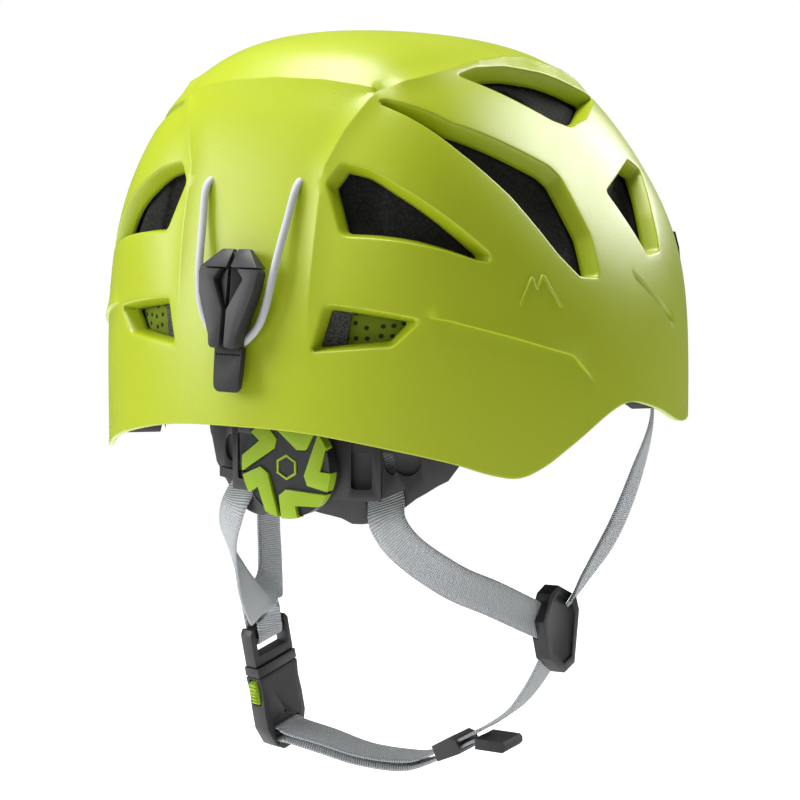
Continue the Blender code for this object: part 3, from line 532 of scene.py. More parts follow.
# %% vents and creases
VENTS = {
    "crown": ((44, 58.2), (52.5, 62), (70, 65.2), (92, 64.6), (109, 60.5), (120.5, 57), (98.5, 55.2),
              (86, 54.2), (78, 55.4)),
    "sweep": ((24, 48.6), (25.3, 49.3), (28, 49), (39.5, 47.5), (66.4, 46), (69.5, 44.3), (73, 33.6),
              (72, 25.6), (66, 25.7), (61, 29.3), (51, 38), (40.5, 43)),
    "rear": ((18, 40.4), (15.3, 37.6), (18.2, 30.7), (19.3, 30.1), (42.6, 26.9), (45, 27), (44.8, 28.2),
             (28.7, 36.7), (23.3, 39.2)),
    "temple": ((87.5, 42), (108.5, 46), (113, 43.3), (105, 35.6), (100.5, 29), (94, 29)),
    "low": ((16, 20.3), (13.6, 12.7), (20, 13.2), (27.5, 13.7), (32.3, 18), (30, 18.4)),
}
LOOPS = [rounded_outline(c, side=s) for c in VENTS.values() for s in (1, -1)]
# outlines run so that a positive offset leads out of the vent
LOOPS = [l if signed(offset(l, 1.0), [l]).mean() > 0 else l[::-1] for l in LOOPS]
LIP = ((-2.1, 7.2), (-1.6, 5.6), (-1.1, 3.9), (-0.65, 2.3), (-0.3, 1.15), (-0.05, 0.5), (0.2, 0.18),
       (0.5, 0.05), (1.0, 0.0))


def crease(rows, mirror=True):
    out = []
    for s in ((1, -1) if mirror else (1,)):
        fine = []
        for (a0, e0), (a1, e1) in zip(rows, rows[1:]):
            fine += [(a0 + (a1 - a0) * t, e0 + (e1 - e0) * t) for t in np.linspace(0, 1, 8, endpoint=False)]
        fine.append(rows[-1])
        out.append(resample(dome([s * a for a, _ in fine], [e for _, e in fine]), 1.8, False))
    return out


# kind, height, reach to each side, fade length at the start and end
CREASES = [(l, "ridge", 1.1, 9, 2, 2) for l in crease(((-24, 50.7), (-12, 52.3), (0, 52.9), (12, 52.3),
                                                       (24, 50.7)), False)]
CREASES += [(l, "ridge", 1.0, 8, 4, 60) for l in crease(((24, 50.5), (18, 44.5), (14.8, 40), (14.3, 36),
                                                       (13.2, 21), (13.2, 6)))]
CREASES += [(l, "ridge", 1.1, 8, 8, 14) for l in crease(((26, 51.2), (33, 54.1), (46.4, 60.8), (57, 64.7),
                                                        (73, 67.6), (89, 68.3), (113.6, 63.8), (123, 57.6)))]
CREASES += [(l, "step", 1.5, 10, 3, 14) for l in crease(((33.2, 18.3), (37, 17.8), (48, 15.3), (61.3, 11.9),
                                                       (67.4, 6.3)))]
CREASES += [(l, "groove", 2.2, 1.8, 3, 12) for l in crease(((85.2, 26), (91, 22), (100.7, 14.6)))]


def relief(p):
    """Height of the creases above the plain dome, outward in millimetres."""
    total, ridges = np.zeros(len(p)), np.zeros(len(p))
    for line, kind, height, width, fade0, fade1 in CREASES:
        near, _ = distance(p, [line], False)
        hit = np.where(near < width)[0]
        if not len(hit):
            continue
        q = p[hit]
        a, ab = line[:-1], np.diff(line, axis=0)
        t = np.clip(((q[:, None] - a) * ab).sum(-1) / (ab * ab).sum(-1), 0, 1)
        foot = a + ab * t[..., None]
        k = np.linalg.norm(q[:, None] - foot, axis=-1).argmin(1)
        rows = np.arange(len(q))
        run = np.r_[0, np.cumsum(np.linalg.norm(ab, axis=1))]
        along = run[k] + t[rows, k] * np.linalg.norm(ab, axis=1)[k]
        fade = np.clip(along / fade0, 0, 1) * np.clip((run[-1] - along) / fade1, 0, 1)
        d = near[hit]
        above = q[:, 2] > foot[rows, k, 2]
        if kind == "ridge":
            h = height * (1 - d / width) ** 2
        elif kind == "step":
            h = np.where(above, height * (1 - d / width) ** 2 * np.clip(d / 0.2, 0, 1), 0)
        else:
            h = -height * (1 - (d / width) ** 2)
        h = h * fade * fade * (3 - 2 * fade)
        if kind == "ridge":
            ridges[hit] = np.maximum(ridges[hit], h)
        else:
            total[hit] += h
    return total + ridges


def lip_depth(sd):
    s, d = np.array(LIP).T
    return np.interp(sd, s, d)


def place_shell(p, sd):
    return p + normals(p) * (relief(p) - lip_depth(sd))[:, None]


# %% [markdown]
# The shell itself: about 2 mm of injection-moulded plastic. The sheet is given its thickness inwards by
# Solidify, which leaves the outer skin exactly where it was drawn.

# %% outer shell
RIDGE_STEPS, GROOVE_STEPS = (0, 0.5, -0.5, 1.4, -1.4, 3.0, -3.0), (0, 0.9, -0.9, 1.8, -1.8)
crease_lines = [(c[0], RIDGE_STEPS if c[1] != "groove" else GROOVE_STEPS) for c in CREASES]
shell_bm = build_sheet(LOOPS, [s for s, _ in LIP], crease_lines, place_shell, -2.0)
print("shell faces:", len(shell_bm.faces))
shell = put("shell", shell_bm, LIME, "helmet", ["outer_shell"], crisp=50)
m = shell.modifiers.new("thickness", 'SOLIDIFY')
m.thickness, m.offset, m.use_even_offset = 1.9 * MM, -1, False

# %% [markdown]
# The foam liner sits well below the shell, so that each vent shows a dark pocket with the foam's edge in
# it. The foam's own holes are smaller than the vents. It is moulded from fused beads.

# %% foam liner
FOAM_HOLES = {
    "crown": ((50, 59.5), (58, 62.2), (72, 63.4), (82, 60.5), (78, 57.6)),
    "sweep": ((34, 46.4), (62, 44.2), (68, 41.5), (70, 33), (66, 29.5), (60, 34), (50, 41)),
    "rear": ((15.5, 40.5), (14, 37), (16.5, 30), (25.5, 29), (24.4, 35.5), (26, 38.5)),
    "temple": ((94, 40), (106, 43.4), (108, 41), (101, 33.5)),
}
FOAM_LOOPS = [rounded_outline(c, 3.5, 2.2, s) for c in FOAM_HOLES.values() for s in (1, -1)]
FOAM_LOOPS = [l if signed(offset(l, 1.0), [l]).mean() > 0 else l[::-1] for l in FOAM_LOOPS]
POCKETS = [LOOPS[8], LOOPS[9]]
FOAM_DEPTH, EDGE_ROUND, POCKET_DEPTH = 8.6, 1.6, 5.2


def place_foam(p, sd):
    """Well under the skin, with rounded hole edges and pockets behind the low slots."""
    lump = np.array([noise.noise(Vector(q) * 0.11) for q in p]) * 0.35
    low = np.clip((3.0 - signed(p, POCKETS)) / 2.5, 0, 1)
    edge = EDGE_ROUND * np.clip(1 - sd / 2.2, 0, 1) ** 2
    pocket = POCKET_DEPTH * low * low * (3 - 2 * low)
    return p - normals(p) * (FOAM_DEPTH + edge + lump + pocket)[:, None]


liner_bm = build_sheet(FOAM_LOOPS, (0, 0.8, 2.0), [], place_foam, -0.2, spacing=3.4, rise=5.2, margin=3.2)
liner = put("liner", liner_bm, FOAM, "helmet", ["foam_liner"], crisp=60)
m = liner.modifiers.new("thickness", 'SOLIDIFY')
m.thickness, m.offset, m.use_even_offset = 12.5 * MM, -1, False
# the strip of foam edge that shows under the shell's rim, between shell and liner
edge_bm = build_sheet([], (), [], lambda p, sd: p - normals(p) * 3.6, -1, spacing=6, rise=5.2)
bmesh.ops.delete(edge_bm, geom=[v for v in edge_bm.verts if v.co.z > 24], context='VERTS')
edge = put("liner_edge", edge_bm, FOAM, "helmet")
m = edge.modifiers.new("thickness", 'SOLIDIFY')
m.thickness, m.offset = 6.5 * MM, -1

# %% [markdown]
# Generic marks: a raised two-peak line on each side of the shell and three raised bars on the crown, in
# the shell's own colour, standing where a maker would put a name.

# %% marks on the shell
def skin_line(name, rows, radius, mat, lift=0.0):
    """A raised line that follows the skin, half sunk into it."""
    p = resample(dome([a for a, _ in rows], [e for _, e in rows]), 1.2, False)
    p = on_dome(p)
    p = p + normals(p) * (relief(p) + lift)[:, None]
    cu = bpy.data.curves.new(name, 'CURVE')
    cu.dimensions, cu.bevel_depth, cu.bevel_resolution, cu.use_fill_caps = '3D', radius, 2, True
    sp = cu.splines.new('POLY')
    sp.points.add(len(p) - 1)
    for q, c in zip(sp.points, p):
        q.co = (*c, 1)
    ob = bpy.data.objects.new(name, cu)
    bpy.context.scene.collection.objects.link(ob)
    me = bpy.data.meshes.new_from_object(ob.evaluated_get(bpy.context.evaluated_depsgraph_get()))
    bm = bmesh.new()
    bm.from_mesh(me)
    bpy.data.objects.remove(ob)
    bpy.data.meshes.remove(me)
    bmesh.ops.remove_doubles(bm, verts=bm.verts, dist=0.01)
    return bm


for s, tag in ((1, "right"), (-1, "left")):
    peaks = ((50.2, 20.6), (53.0, 25.0), (54.2, 23.2), (55.6, 25.6), (59.4, 20.2))
    bm = skin_line("side_mark", [(s * a, e) for a, e in peaks], 0.7, LIME)
    put(f"side_mark_{tag}", bm, LIME, "helmet", crisp=80)
for k in range(3):
    lo, hi = 81.5 - 3.2 * k, 81.0 - 3.2 * k
    bm = skin_line("crown_mark", ((150 + 4 * k, lo), (180, hi), (210 - 4 * k, lo)), 0.9, LIME, 0.1)
    put(f"crown_mark_{k}", bm, LIME, "helmet", crisp=80)

# %% [markdown]
# Webbing. Each strap is a flat woven band 15 mm wide, lofted along its route. Its across and along
# distances are kept as a UV map in millimetres, and the weave reads them: fine ribs across the band, a
# slight twill, and a darker band along both edges. The colour follows the rib height: painted shade in
# the rib valleys and painted highlight on the rib tops.

# %% webbing material
def webbing(name, rgb, ribs=1.05):
    m, nt, b = shader(name, rgb, 0.82)
    b.inputs["Sheen Weight"].default_value = 0.25
    uv = nt.nodes.new("ShaderNodeUVMap")
    uv.uv_map = "weave"
    xy = nt.nodes.new("ShaderNodeSeparateXYZ")
    link(nt, uv, "UV", xy, "Vector")

    def calc(op, a, b_):
        n = nt.nodes.new("ShaderNodeMath")
        n.operation = op
        for k, v in enumerate((a, b_)):
            if isinstance(v, (int, float)):
                n.inputs[k].default_value = v
            elif v is not None:
                nt.links.new(v, n.inputs[k])
        return n.outputs[0]
    across, along = xy.outputs["X"], xy.outputs["Y"]
    slanted = calc('ADD', along, calc('MULTIPLY', across, 0.22))
    rib = calc('SINE', calc('MULTIPLY', slanted, 2 * pi / ribs), None)
    yarn = calc('SINE', calc('MULTIPLY', across, 2 * pi / 0.75), None)
    height = calc('ADD', rib, calc('MULTIPLY', calc('MULTIPLY', yarn, rib), 0.45))
    edge = calc('GREATER_THAN', calc('ABSOLUTE', across, None), 6.5)
    bump = nt.nodes.new("ShaderNodeBump")
    bump.inputs["Strength"].default_value = 0.9
    bump.inputs["Distance"].default_value = 0.22 * MM
    nt.links.new(height, bump.inputs["Height"])
    link(nt, bump, "Normal", b, "Normal")
    # painted shade and painted highlight: a dark and a light weave colour, mixed by the rib height so the rib
    # valleys are painted darker and the rib tops lighter; the band is also darker along both edges
    mix = nt.nodes.new("ShaderNodeMixRGB")
    mix.inputs[1].default_value = (*[c * 0.62 for c in rgb], 1)
    mix.inputs[2].default_value = (*[min(1, c * 1.15) for c in rgb], 1)
    shade = calc('SUBTRACT', calc('ADD', calc('MULTIPLY', height, 0.35), 0.62), calc('MULTIPLY', edge, 0.22))
    nt.links.new(shade, mix.inputs[0])
    link(nt, mix, 0, b, "Base Color")
    return m


WEB = webbing("webbing", (0.56, 0.59, 0.615))
WEB_W, WEB_T = 15.0, 1.4


def smooth_path(pts, per, cyclic=False):
    out, n = [], len(pts)
    for i in range(n if cyclic else n - 1):
        a, b, c, d = (pts[(i + k) % n] if cyclic else pts[max(0, min(n - 1, i + k))] for k in (-1, 0, 1, 2))
        for s in range(per):
            t = s / per
            out.append(0.5 * ((2 * b) + (c - a) * t + (2 * a - 5 * b + 4 * c - d) * t * t
                              + (3 * b - a - 3 * c + d) * t ** 3))
    if not cyclic:
        out.append(pts[-1].copy())
    return out


SECTION = [(-0.5, -0.18), (-0.47, -0.5), (-0.25, -0.46), (0, -0.44), (0.25, -0.46), (0.47, -0.5),
           (0.5, -0.18), (0.5, 0.18), (0.47, 0.5), (0.25, 0.46), (0, 0.44), (-0.25, 0.46), (-0.47, 0.5),
           (-0.5, 0.18)]


def strap(name, stations, body, node, per=8, width=WEB_W, thick=WEB_T, mat=None):
    """Band lofted through (point, width direction); the section is flat with fuller edges."""
    pts = smooth_path([Vector(p) for p, _ in stations], per)
    wid = smooth_path([Vector(w).normalized() for _, w in stations], per)
    bm = bmesh.new()
    uv = bm.loops.layers.uv.new("weave")
    rings, run, n = [], [0.0], len(SECTION)
    for i, p in enumerate(pts):
        t = (pts[min(i + 1, len(pts) - 1)] - pts[max(i - 1, 0)]).normalized()
        w = (wid[i] - t * wid[i].dot(t)).normalized()
        m = t.cross(w)
        rings.append([bm.verts.new(p + w * (a * width) + m * (b * thick)) for a, b in SECTION])
        if i:
            run.append(run[-1] + (p - pts[i - 1]).length)
    for i in range(len(rings) - 1):
        for k in range(n):
            f = bm.faces.new((rings[i][k], rings[i][(k + 1) % n], rings[i + 1][(k + 1) % n], rings[i + 1][k]))
            for loop, (a, j) in zip(f.loops, ((k, i), ((k + 1) % n, i), ((k + 1) % n, i + 1), (k, i + 1))):
                loop[uv].uv = (SECTION[a][0] * width, run[j])
    for r in (rings[0], rings[-1]):
        bm.faces.new(r)
    return put(name, bm, mat or WEB, body, [node], crisp=50)


# %% [markdown]
# The harness route. The frames of the buckle and the slider come first, because the straps pass through
# their slots. Straps that cross the cradle's hinge are attached to neither body.

# %% harness straps
N = Vector((0.98, -0.2, 0.0)).normalized()
W = Vector((0.2, 0.96, 0.22))
W = (W - N * W.dot(N)).normalized()
U = N.cross(W)
BUCKLE = basis(Vector((-70, 9, -146)), N, W, U)
SLIDER_AT, T, Y = Vector((14, 25, -160.5)), Vector((0.87, 0.0, 0.49)).normalized(), Vector((0, 1, 0))
SN = Vector((-T.z, 0, T.x))
LAP, HIGH, LOW = 1.6, -11.2, -17.2
LEG = 2.7 + WEB_T / 2


def on_buckle(x, y, z):
    return BUCKLE @ Vector((x, y, z))


def on_slider(t, n):
    return SLIDER_AT + T * t + SN * n


left_web = [((-27.5, -70.3, -15), (0.93, -0.3, 0)), ((-29.5, -69.6, -24), (0.93, -0.35, 0.1)),
            ((-33.5, -73.4, -33.5), (0.9, -0.35, -0.25)), ((-37.0, -76.5, -43), (0.9, -0.35, -0.25)),
            ((-46, -66, -58), (0.75, -0.6, -0.25)), ((-58, -38, -81), (0.35, -0.9, -0.1)),
            ((-66, -11, -101), (-0.05, -0.98, -0.15)), (on_buckle(LEG + 0.6, -0.5, 44), -W),
            (on_buckle(LEG, 0, 36.5), -W), (on_buckle(LEG, 0, 33.6), -W),
            (on_buckle(LEG * 0.71, 0, 31.2), -W), (on_buckle(0, 0, 30.2), -W),
            (on_buckle(-LEG * 0.71, 0, 31.2), -W), (on_buckle(-LEG, 0, 33.6), -W),
            (on_buckle(-LEG, 0, 36.5), -W), (on_buckle(-LEG - 0.8, 1, 44), -W),
            ((-83, 24, -96), (-0.15, -0.98, -0.1)), ((-91, 36, -68), (-0.15, -0.98, 0)),
            ((-94.5, 42, -40), (-0.2, -0.97, 0)), ((-95.5, 46, -10), (-0.35, -0.93, 0)),
            ((-94, 48, 9), (-0.4, -0.91, 0))]
right_rear = [((27.5, -70.3, -15), (0.93, 0.3, 0)), ((29.5, -69.6, -24), (0.93, 0.35, 0.1)),
              ((33.5, -73.4, -33.5), (0.9, 0.35, 0.25)), ((36.5, -76.8, -43), (0.9, 0.3, 0.3)),
              ((42, -69, -55), (0.75, 0.3, 0.55)), ((50, -47, -70), (0.45, 0.25, 0.85)),
              ((57, -26, -80), (0.25, 0.3, 0.92)), ((63, -6, -90), (0.1, 0.3, 0.95)),
              ((66.3, 4.5, -95), (0.1, 0.35, 0.93))]
right_front = [((94, 48, 9), (-0.4, 0.91, 0)), ((95, 50, -10), (-0.36, 0.93, 0)),
               ((88, 52, -34), (-0.02, 0.99, 0.1)), ((80, 46, -60), (0.12, 0.96, 0.2)),
               ((73, 30, -80), (0.06, 0.92, 0.38)), ((69.5, 19, -91), (-0.05, 0.9, 0.42))]
chin = [((67, 12, -107.5), (0.25, 0.93, 0.25)), ((63, 12, -116), (0.25, 0.93, 0.2)),
        ((56.5, 14, -126), (0.2, 0.95, 0.15)), ((47, 18, -137), (0.1, 0.98, 0.1)),
        (on_slider(22, LAP + 0.4), Y), (on_slider(14, LAP), Y), (on_slider(0, LAP), Y),
        (on_slider(-14, LAP), Y), ((-10, 22, -168), (0, 0.99, 0.1)), ((-28, 17, -166.5), (0.05, 0.99, 0.12)),
        ((-46, 12.5, -161.5), (0.12, 0.97, 0.18)), (on_buckle(9, 0, HIGH - 1.5), W),
        (on_buckle(4.5, 0, HIGH), W), (on_buckle(-4.5, 0, HIGH), W), (on_buckle(-6.9, 0, HIGH - 1), W),
        (on_buckle(-7.9, 0, (HIGH + LOW) / 2), W), (on_buckle(-6.9, 0, LOW + 1), W),
        (on_buckle(-4.5, 0, LOW), W), (on_buckle(4.5, 0, LOW), W), (on_buckle(9, 0, LOW + 0.2), W),
        ((-46, 12.5, -165.5), (0.12, 0.97, 0.18)), ((-28, 17, -170.3), (0.05, 0.99, 0.12)),
        ((-10, 22, -171.8), (0, 0.99, 0.1)), (on_slider(-14, -LAP), Y), (on_slider(0, -LAP), Y),
        (on_slider(13, -LAP), Y), ((30, 25, -155.4), Y), ((34, 25, -155.9), Y)]
left_strap = strap("strap_left", left_web, None, "side_strap_left")
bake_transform(left_strap)
rear_strap = strap("strap_right_rear", right_rear, None, "rear_strap_right")
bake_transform(rear_strap)
strap("strap_right_front", right_front, "helmet", "front_strap_right")
chin_look = strap("strap_chin", chin, None, "chin_strap")
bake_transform(chin_look)

# %% [markdown]
# The elastic cord that holds a headlamp's band: a 3 mm braided loop that comes out of two holes in the
# rear panel and runs round the hook.

# %% lamp cord
HOLE_X, HOLE_Z = 20.0, 93.0


def cord_route():
    half = [Vector((x, back_y(x, z, out), z)) for x, z, out in
            ((20, 88, 2.2), (18.9, 78, 2.9), (17.7, 68, 4.0), (16.6, 58, 5.0), (15.0, 48, 5.0),
             (12.2, 40, 4.2), (7.8, 34.6, 3.3), (3.2, 31.6, 3.1))]
    y = back_y(HOLE_X, HOLE_Z)
    right = [Vector((10, y + 8.6, HOLE_Z - 0.2)), Vector((16.5, y + 7.6, HOLE_Z - 0.2)),
             Vector((19.4, y + 4.6, HOLE_Z - 0.2)), Vector((20.0, y - 0.2, HOLE_Z - 1.0))] + half
    return right + [Vector((-p.x, p.y, p.z)) for p in reversed(right)]


def tube(pts, radius, cyclic, segs=2):
    cu = bpy.data.curves.new("tube", 'CURVE')
    cu.dimensions, cu.bevel_depth, cu.bevel_resolution, cu.use_fill_caps = '3D', radius, segs, not cyclic
    sp = cu.splines.new('POLY')
    sp.points.add(len(pts) - 1)
    for q, c in zip(sp.points, pts):
        q.co = (*c, 1)
    sp.use_cyclic_u = cyclic
    ob = bpy.data.objects.new("tube", cu)
    bpy.context.scene.collection.objects.link(ob)
    me = bpy.data.meshes.new_from_object(ob.evaluated_get(bpy.context.evaluated_depsgraph_get()))
    bm = bmesh.new()
    bm.from_mesh(me)
    bpy.data.objects.remove(ob)
    bpy.data.meshes.remove(me)
    bmesh.ops.remove_doubles(bm, verts=bm.verts, dist=0.01)
    return bm


BRAID = moulded("cord_sheath", (0.60, 0.62, 0.65), 0.6, 0.3, 0.05)
loop = put("elastic_loop", tube(smooth_path(cord_route(), 8, True), 1.5, True, 4), BRAID, None, ["lamp_cord"],
           crisp=80)
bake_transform(loop)

# %% [markdown]
# The lamp hook. A faceted cap with a slit down its middle, and below it two bent prongs that leave a
# diamond-shaped hollow with two leaf-shaped facets in it. Each half is an extruded outline with chamfered
# edges; the cap's face is sloped back by moving its top edge. The other half is a mirrored copy.

# %% lamp hook
lean = atan2(back_y(0, 62) - back_y(0, 34), 28)
HOOK = Matrix.Translation((0, back_y(0, 48), 48)) @ Matrix.Rotation(-lean, 4, 'X')


def both_sides(bm):
    other = bm.copy()
    other.transform(Matrix.Scale(-1, 4, (1, 0, 0)))
    bmesh.ops.reverse_faces(other, faces=other.faces)
    return join(bm, other)


prong = prism([(3.4, 10.9), (12.9, 10.9), (13.4, 9.2), (11.9, 1.5), (6.5, -14.2), (6.0, -18.0), (5.0, -19.2),
               (1.5, -19.2), (0.8, -18.0), (0.8, -4.8), (6.4, 6.8)], -10.6, -3.6)
for v in prong.verts:
    if v.co.y < -8 and v.co.z > 5:
        v.co.y = -9.4
round_edges(prong, 0.75, 2, 30)
cap = prism([(0.8, 11.2), (12.9, 11.2), (6.2, 18.6), (0.8, 18.6)], -9.8, -2.6)
for v in cap.verts:
    if v.co.y < -8 and v.co.z > 17:
        v.co.y = -5.2
round_edges(cap, 0.6, 2, 25)
leaf = prism([(0.75, 10.8), (3.2, 10.8), (5.8, 6.8), (0.75, -3.4)], -7.6, -3.8)
for v in leaf.verts:
    if v.co.y < -7:
        v.co.y = -8.4 if v.co.x < 1 else -6.0
round_edges(leaf, 0.25, 1, 30)
base = prism([(-5.2, 17.4), (5.2, 17.4), (9.4, 9), (8.6, 0), (5.0, -12), (3.0, -16.5), (-3.0, -16.5),
              (-5.0, -12),
              (-8.6, 0), (-9.4, 9)], -5.4, -0.4)
hook_bm = both_sides(join(prong, cap, leaf))
hook_bm = join(hook_bm, base)
hook_bm.transform(HOOK)
put("hook", hook_bm, moulded("hook_nylon", (0.034, 0.034, 0.037), 0.5, 0.5, 0.06), "lamp_retainer",
    ["lamp_hook"], crisp=28)

# %% [markdown]
# The pull tab under the hook is a strip of coarse rubber with a rounded end and a row of small
# perforations where it leaves the hook. The perforations are cut with exact booleans.

# %% pull tab
tab_bm = prism([(-6.3, -18.2), (6.3, -18.2), (5.9, -30), (5.4, -35.4), (-5.4, -35.4), (-5.9, -30)],
               -5.2, -2.4)
ends = [e for e in tab_bm.edges if abs(e.verts[0].co.y - e.verts[1].co.y) > 2 and e.verts[0].co.z < -35]
round_edges(tab_bm, 2.6, 5, edges=ends)
tab_bm = carve(tab_bm, join(*[drum(0.38, 1.6, (x, -5.2, -21.3), 10) for x in np.linspace(-5, 5, 9)]))
round_edges(tab_bm, 0.3, 2, 60)
tab_bm.transform(HOOK)
put("tab", tab_bm, GRIT, "lamp_retainer", ["pull_tab"])

# %% [markdown]
# The adjuster wheel. A dark disc carries five soft bent grips in a pinwheel: one short arm runs outwards
# and one long arm runs across. One grip is drawn by its distance outwards and along, extruded, rounded
# and copied five times. A plain hexagon marks the centre.

# %% adjuster wheel
WHEEL = Matrix.Translation((0, -90, -20.5))
WHEEL_R = 20.5
GRIP = [(-1.6, 11.8), (1.2, 8.8), (23, 6.8), (23, 11.4), (6.2, 14.4), (9.8, 23), (1.4, 23)]


def grip(turn, grow, lo, hi):
    pts = []
    for i, p in enumerate(GRIP):
        p, a, b = Vector(p), Vector(GRIP[i - 1]), Vector(GRIP[(i + 1) % len(GRIP)])
        u, v = (p - a).normalized(), (b - p).normalized()
        t, r = p + (Vector((u.y, -u.x)) + Vector((v.y, -v.x))) * (grow / (1 + u.dot(v)))
        pts.append((r * sin(turn) - t * cos(turn), r * cos(turn) + t * sin(turn)))
    return prism(pts, lo, hi)


TURNS = [radians(188 + 72 * k) for k in range(5)]
disc = drum(WHEEL_R - 0.5, 6.0, (0, -0.4, 0), 72)
round_edges(disc, 0.7, 3, 60)
core = carve(disc, join(*[grip(t, 0.45, -6, -2.6) for t in TURNS]))
core.transform(WHEEL)
put("wheel_disc", core, BLACK, "wheel", ["wheel_core"], crisp=30)
rim_cut = drum(WHEEL_R, 12, (0, 0, 0), 72)
grips = carve(join(*[grip(t, 0, -4.5, 0.5) for t in TURNS]), rim_cut, 'INTERSECT')
round_edges(grips, 0.55, 3, 40)
mark = carve(drum(5.2, 1.0, (0, -3.5, 0), 6), drum(4.1, 3, (0, -3.5, 0), 6))
round_edges(mark, 0.2, 2, 40)
soft = join(grips, mark)
soft.transform(WHEEL)
put("wheel_grips", soft, LIME_PART, "wheel", ["wheel_grip"], crisp=30)

# %% [markdown]
# The wheel's housing and the nape cradle are thin nylon mouldings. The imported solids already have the
# right curve, so they are copied, cut with a few shallow recesses and rounded at their edges.

# %% housing, cradle and bands
def radial(az, z, r, depth, at, segs=32, centre=4.0):
    """A shallow round cutter facing outwards at that azimuth."""
    bm = drum(r, depth, (0, 0, 0), segs)
    bm.transform(Matrix.Translation((at * sin(radians(az)), centre - at * cos(radians(az)), z))
                 @ Matrix.Rotation(radians(az), 4, 'Z'))
    return bm


housing = of_node("wheel_housing")
for s in (1, -1):
    panel = box(8.4, 2.0, 19, (0, 0, 0))
    round_edges(panel, 1.2, 3, 60, [e for e in panel.edges if abs(e.verts[0].co.y - e.verts[1].co.y) > 1])
    turn = radians(s * 17.6)
    panel.transform(Matrix.Translation((89.9 * sin(turn), 4 - 89.9 * cos(turn), -19.5))
                    @ Matrix.Rotation(radians(s * 17.6), 4, 'Z'))
    housing = carve(housing, panel)
round_edges(housing, 0.7, 2, 50)
put("housing", housing, GREY, "cradle", ["wheel_housing"], crisp=30)
cradle = of_node("nape_cradle")
for s in (1, -1):
    cradle = carve(cradle, radial(s * 30.5, -18.5, 5.6, 1.6, 80.9, centre=0.0))
    cradle = carve(cradle, radial(s * 47, -12, 5.0, 1.6, 80.9, centre=0.0))
round_edges(cradle, 0.5, 2, 50)
put("cradle_look", cradle, GREY, "cradle", ["nape_cradle"], crisp=30)
soften("headband_front", 0.35, GREY, 50)
for tag in ("left", "right"):
    soften(f"front_lamp_clip_{tag}", 0.6, BLACK)
    soften(f"strap_anchor_{tag}", 0.6, BLACK)
    soften(f"temple_pin_{tag}", 0.4, GREY, 60)
for node in ("rack_left", "rack_right", "pinion"):
    frame["nodes"][node].data.materials.clear()
    frame["nodes"][node].data.materials.append(GREY)

# %% [markdown]
# The side-release buckle. The plug has an open frame for the webbing; the socket has a stepped collar, a
# small drain hole, keyhole notches beside the buttons and a rounded nose. The soft buttons are ribbed
# for grip: each rib is a small rounded bar.

# %% buckle
plug = of_node("buckle_plug")
round_edges(plug, 0.8, 3, 50)
put("plug", plug, BLACK, "helmet", ["buckle_plug"], crisp=30)
socket = of_node("buckle_socket")


def on_frame(bm, where):
    bm.transform(where)
    return bm


collar = carve(box(10, 27, 0.9, (0, 0, 15.6)), box(7.4, 24.2, 3, (0, 0, 15.6)))
socket = carve(socket, on_frame(collar, BUCKLE))
for s in (1, -1):
    hole = bmesh.new()
    bmesh.ops.create_cone(hole, cap_ends=True, segments=16, radius1=0.75, radius2=0.75, depth=3)
    hole.transform(BUCKLE @ Matrix.Translation((s * 4.4, 0, -5.5)) @ Matrix.Rotation(pi / 2, 4, 'Y'))
    socket = carve(socket, hole)
    for w in (1, -1):
        notch = bmesh.new()
        bmesh.ops.create_cone(notch, cap_ends=True, segments=20, radius1=1.9, radius2=1.9, depth=3)
        notch.transform(BUCKLE @ Matrix.Translation((s * 4.6, w * 8.4, 10.4))
                        @ Matrix.Rotation(pi / 2, 4, 'Y')
                        @ Matrix.Diagonal((1.5, 1, 1, 1)))
        socket = carve(socket, notch)
round_edges(socket, 0.55, 2, 55)
put("socket", socket, BLACK, "socket", ["buckle_socket"], crisp=30)
for s, tag in ((1, "front"), (-1, "rear")):
    body = prism([(s * 9.7, 2.2), (s * 13.0, 2.5), (s * 13.9, 9), (s * 13.4, 13.2), (s * 9.7, 13.8)],
                 -1.9, 1.9, "X")
    round_edges(body, 0.4, 2, 40)
    ribs = []
    for k in range(6):
        z = 3.8 + 1.75 * k
        rib = box(3.6, 1.0, 0.8, (0, s * (13.2 + 0.8 * sin(pi * (z - 2) / 12.5) ** 0.8), z))
        round_edges(rib, 0.3, 2, 40)
        ribs.append(rib)
    b = join(body, *ribs)
    b.transform(BUCKLE)
    put(f"button_{tag}", b, LIME_PART, f"button_{tag}", [f"release_button_{tag}"], crisp=30)

# %% [markdown]
# The small harness parts: the kite-shaped divider with a raised rim, the slider that takes up the chin
# strap, and the rubber tab at its tail.

# %% divider, slider, tail tab
d_x = Vector((0.985, -0.11, 0.05)).normalized()
d_y = Vector((0.25, 0.93, 0.25))
d_y = (d_y - d_x * d_y.dot(d_x)).normalized()
DIV = basis(Vector((68, 12, -99)), d_x, d_y, d_x.cross(d_y))
divider = of_node("strap_divider")
KITE = [(-4, 18), (3, 19), (15, 9), (15.5, 2), (5, -18), (-4, -18.5), (-13, -8), (-13, 9)]
centre = (0.8, 0.5)
pocket = prism([(centre[0] + (a - centre[0]) * 0.74, centre[1] + (b - centre[1]) * 0.8) for a, b in KITE],
               2.5, 6, "X")
divider = carve(divider, on_frame(pocket, DIV))
round_edges(divider, 1.1, 3, 60)
put("divider", divider, BLACK, "helmet", ["strap_divider"], crisp=30)
slider = round_edges(of_node("strap_slider"), 0.7, 3, 50)
put("slider_look", slider, GREY, "slider", ["strap_slider"], crisp=30)
tail = round_edges(of_node("tail_tab"), 0.9, 3, 40)
put("tail", tail, GRIT, "helmet", ["tail_tab"], crisp=30)
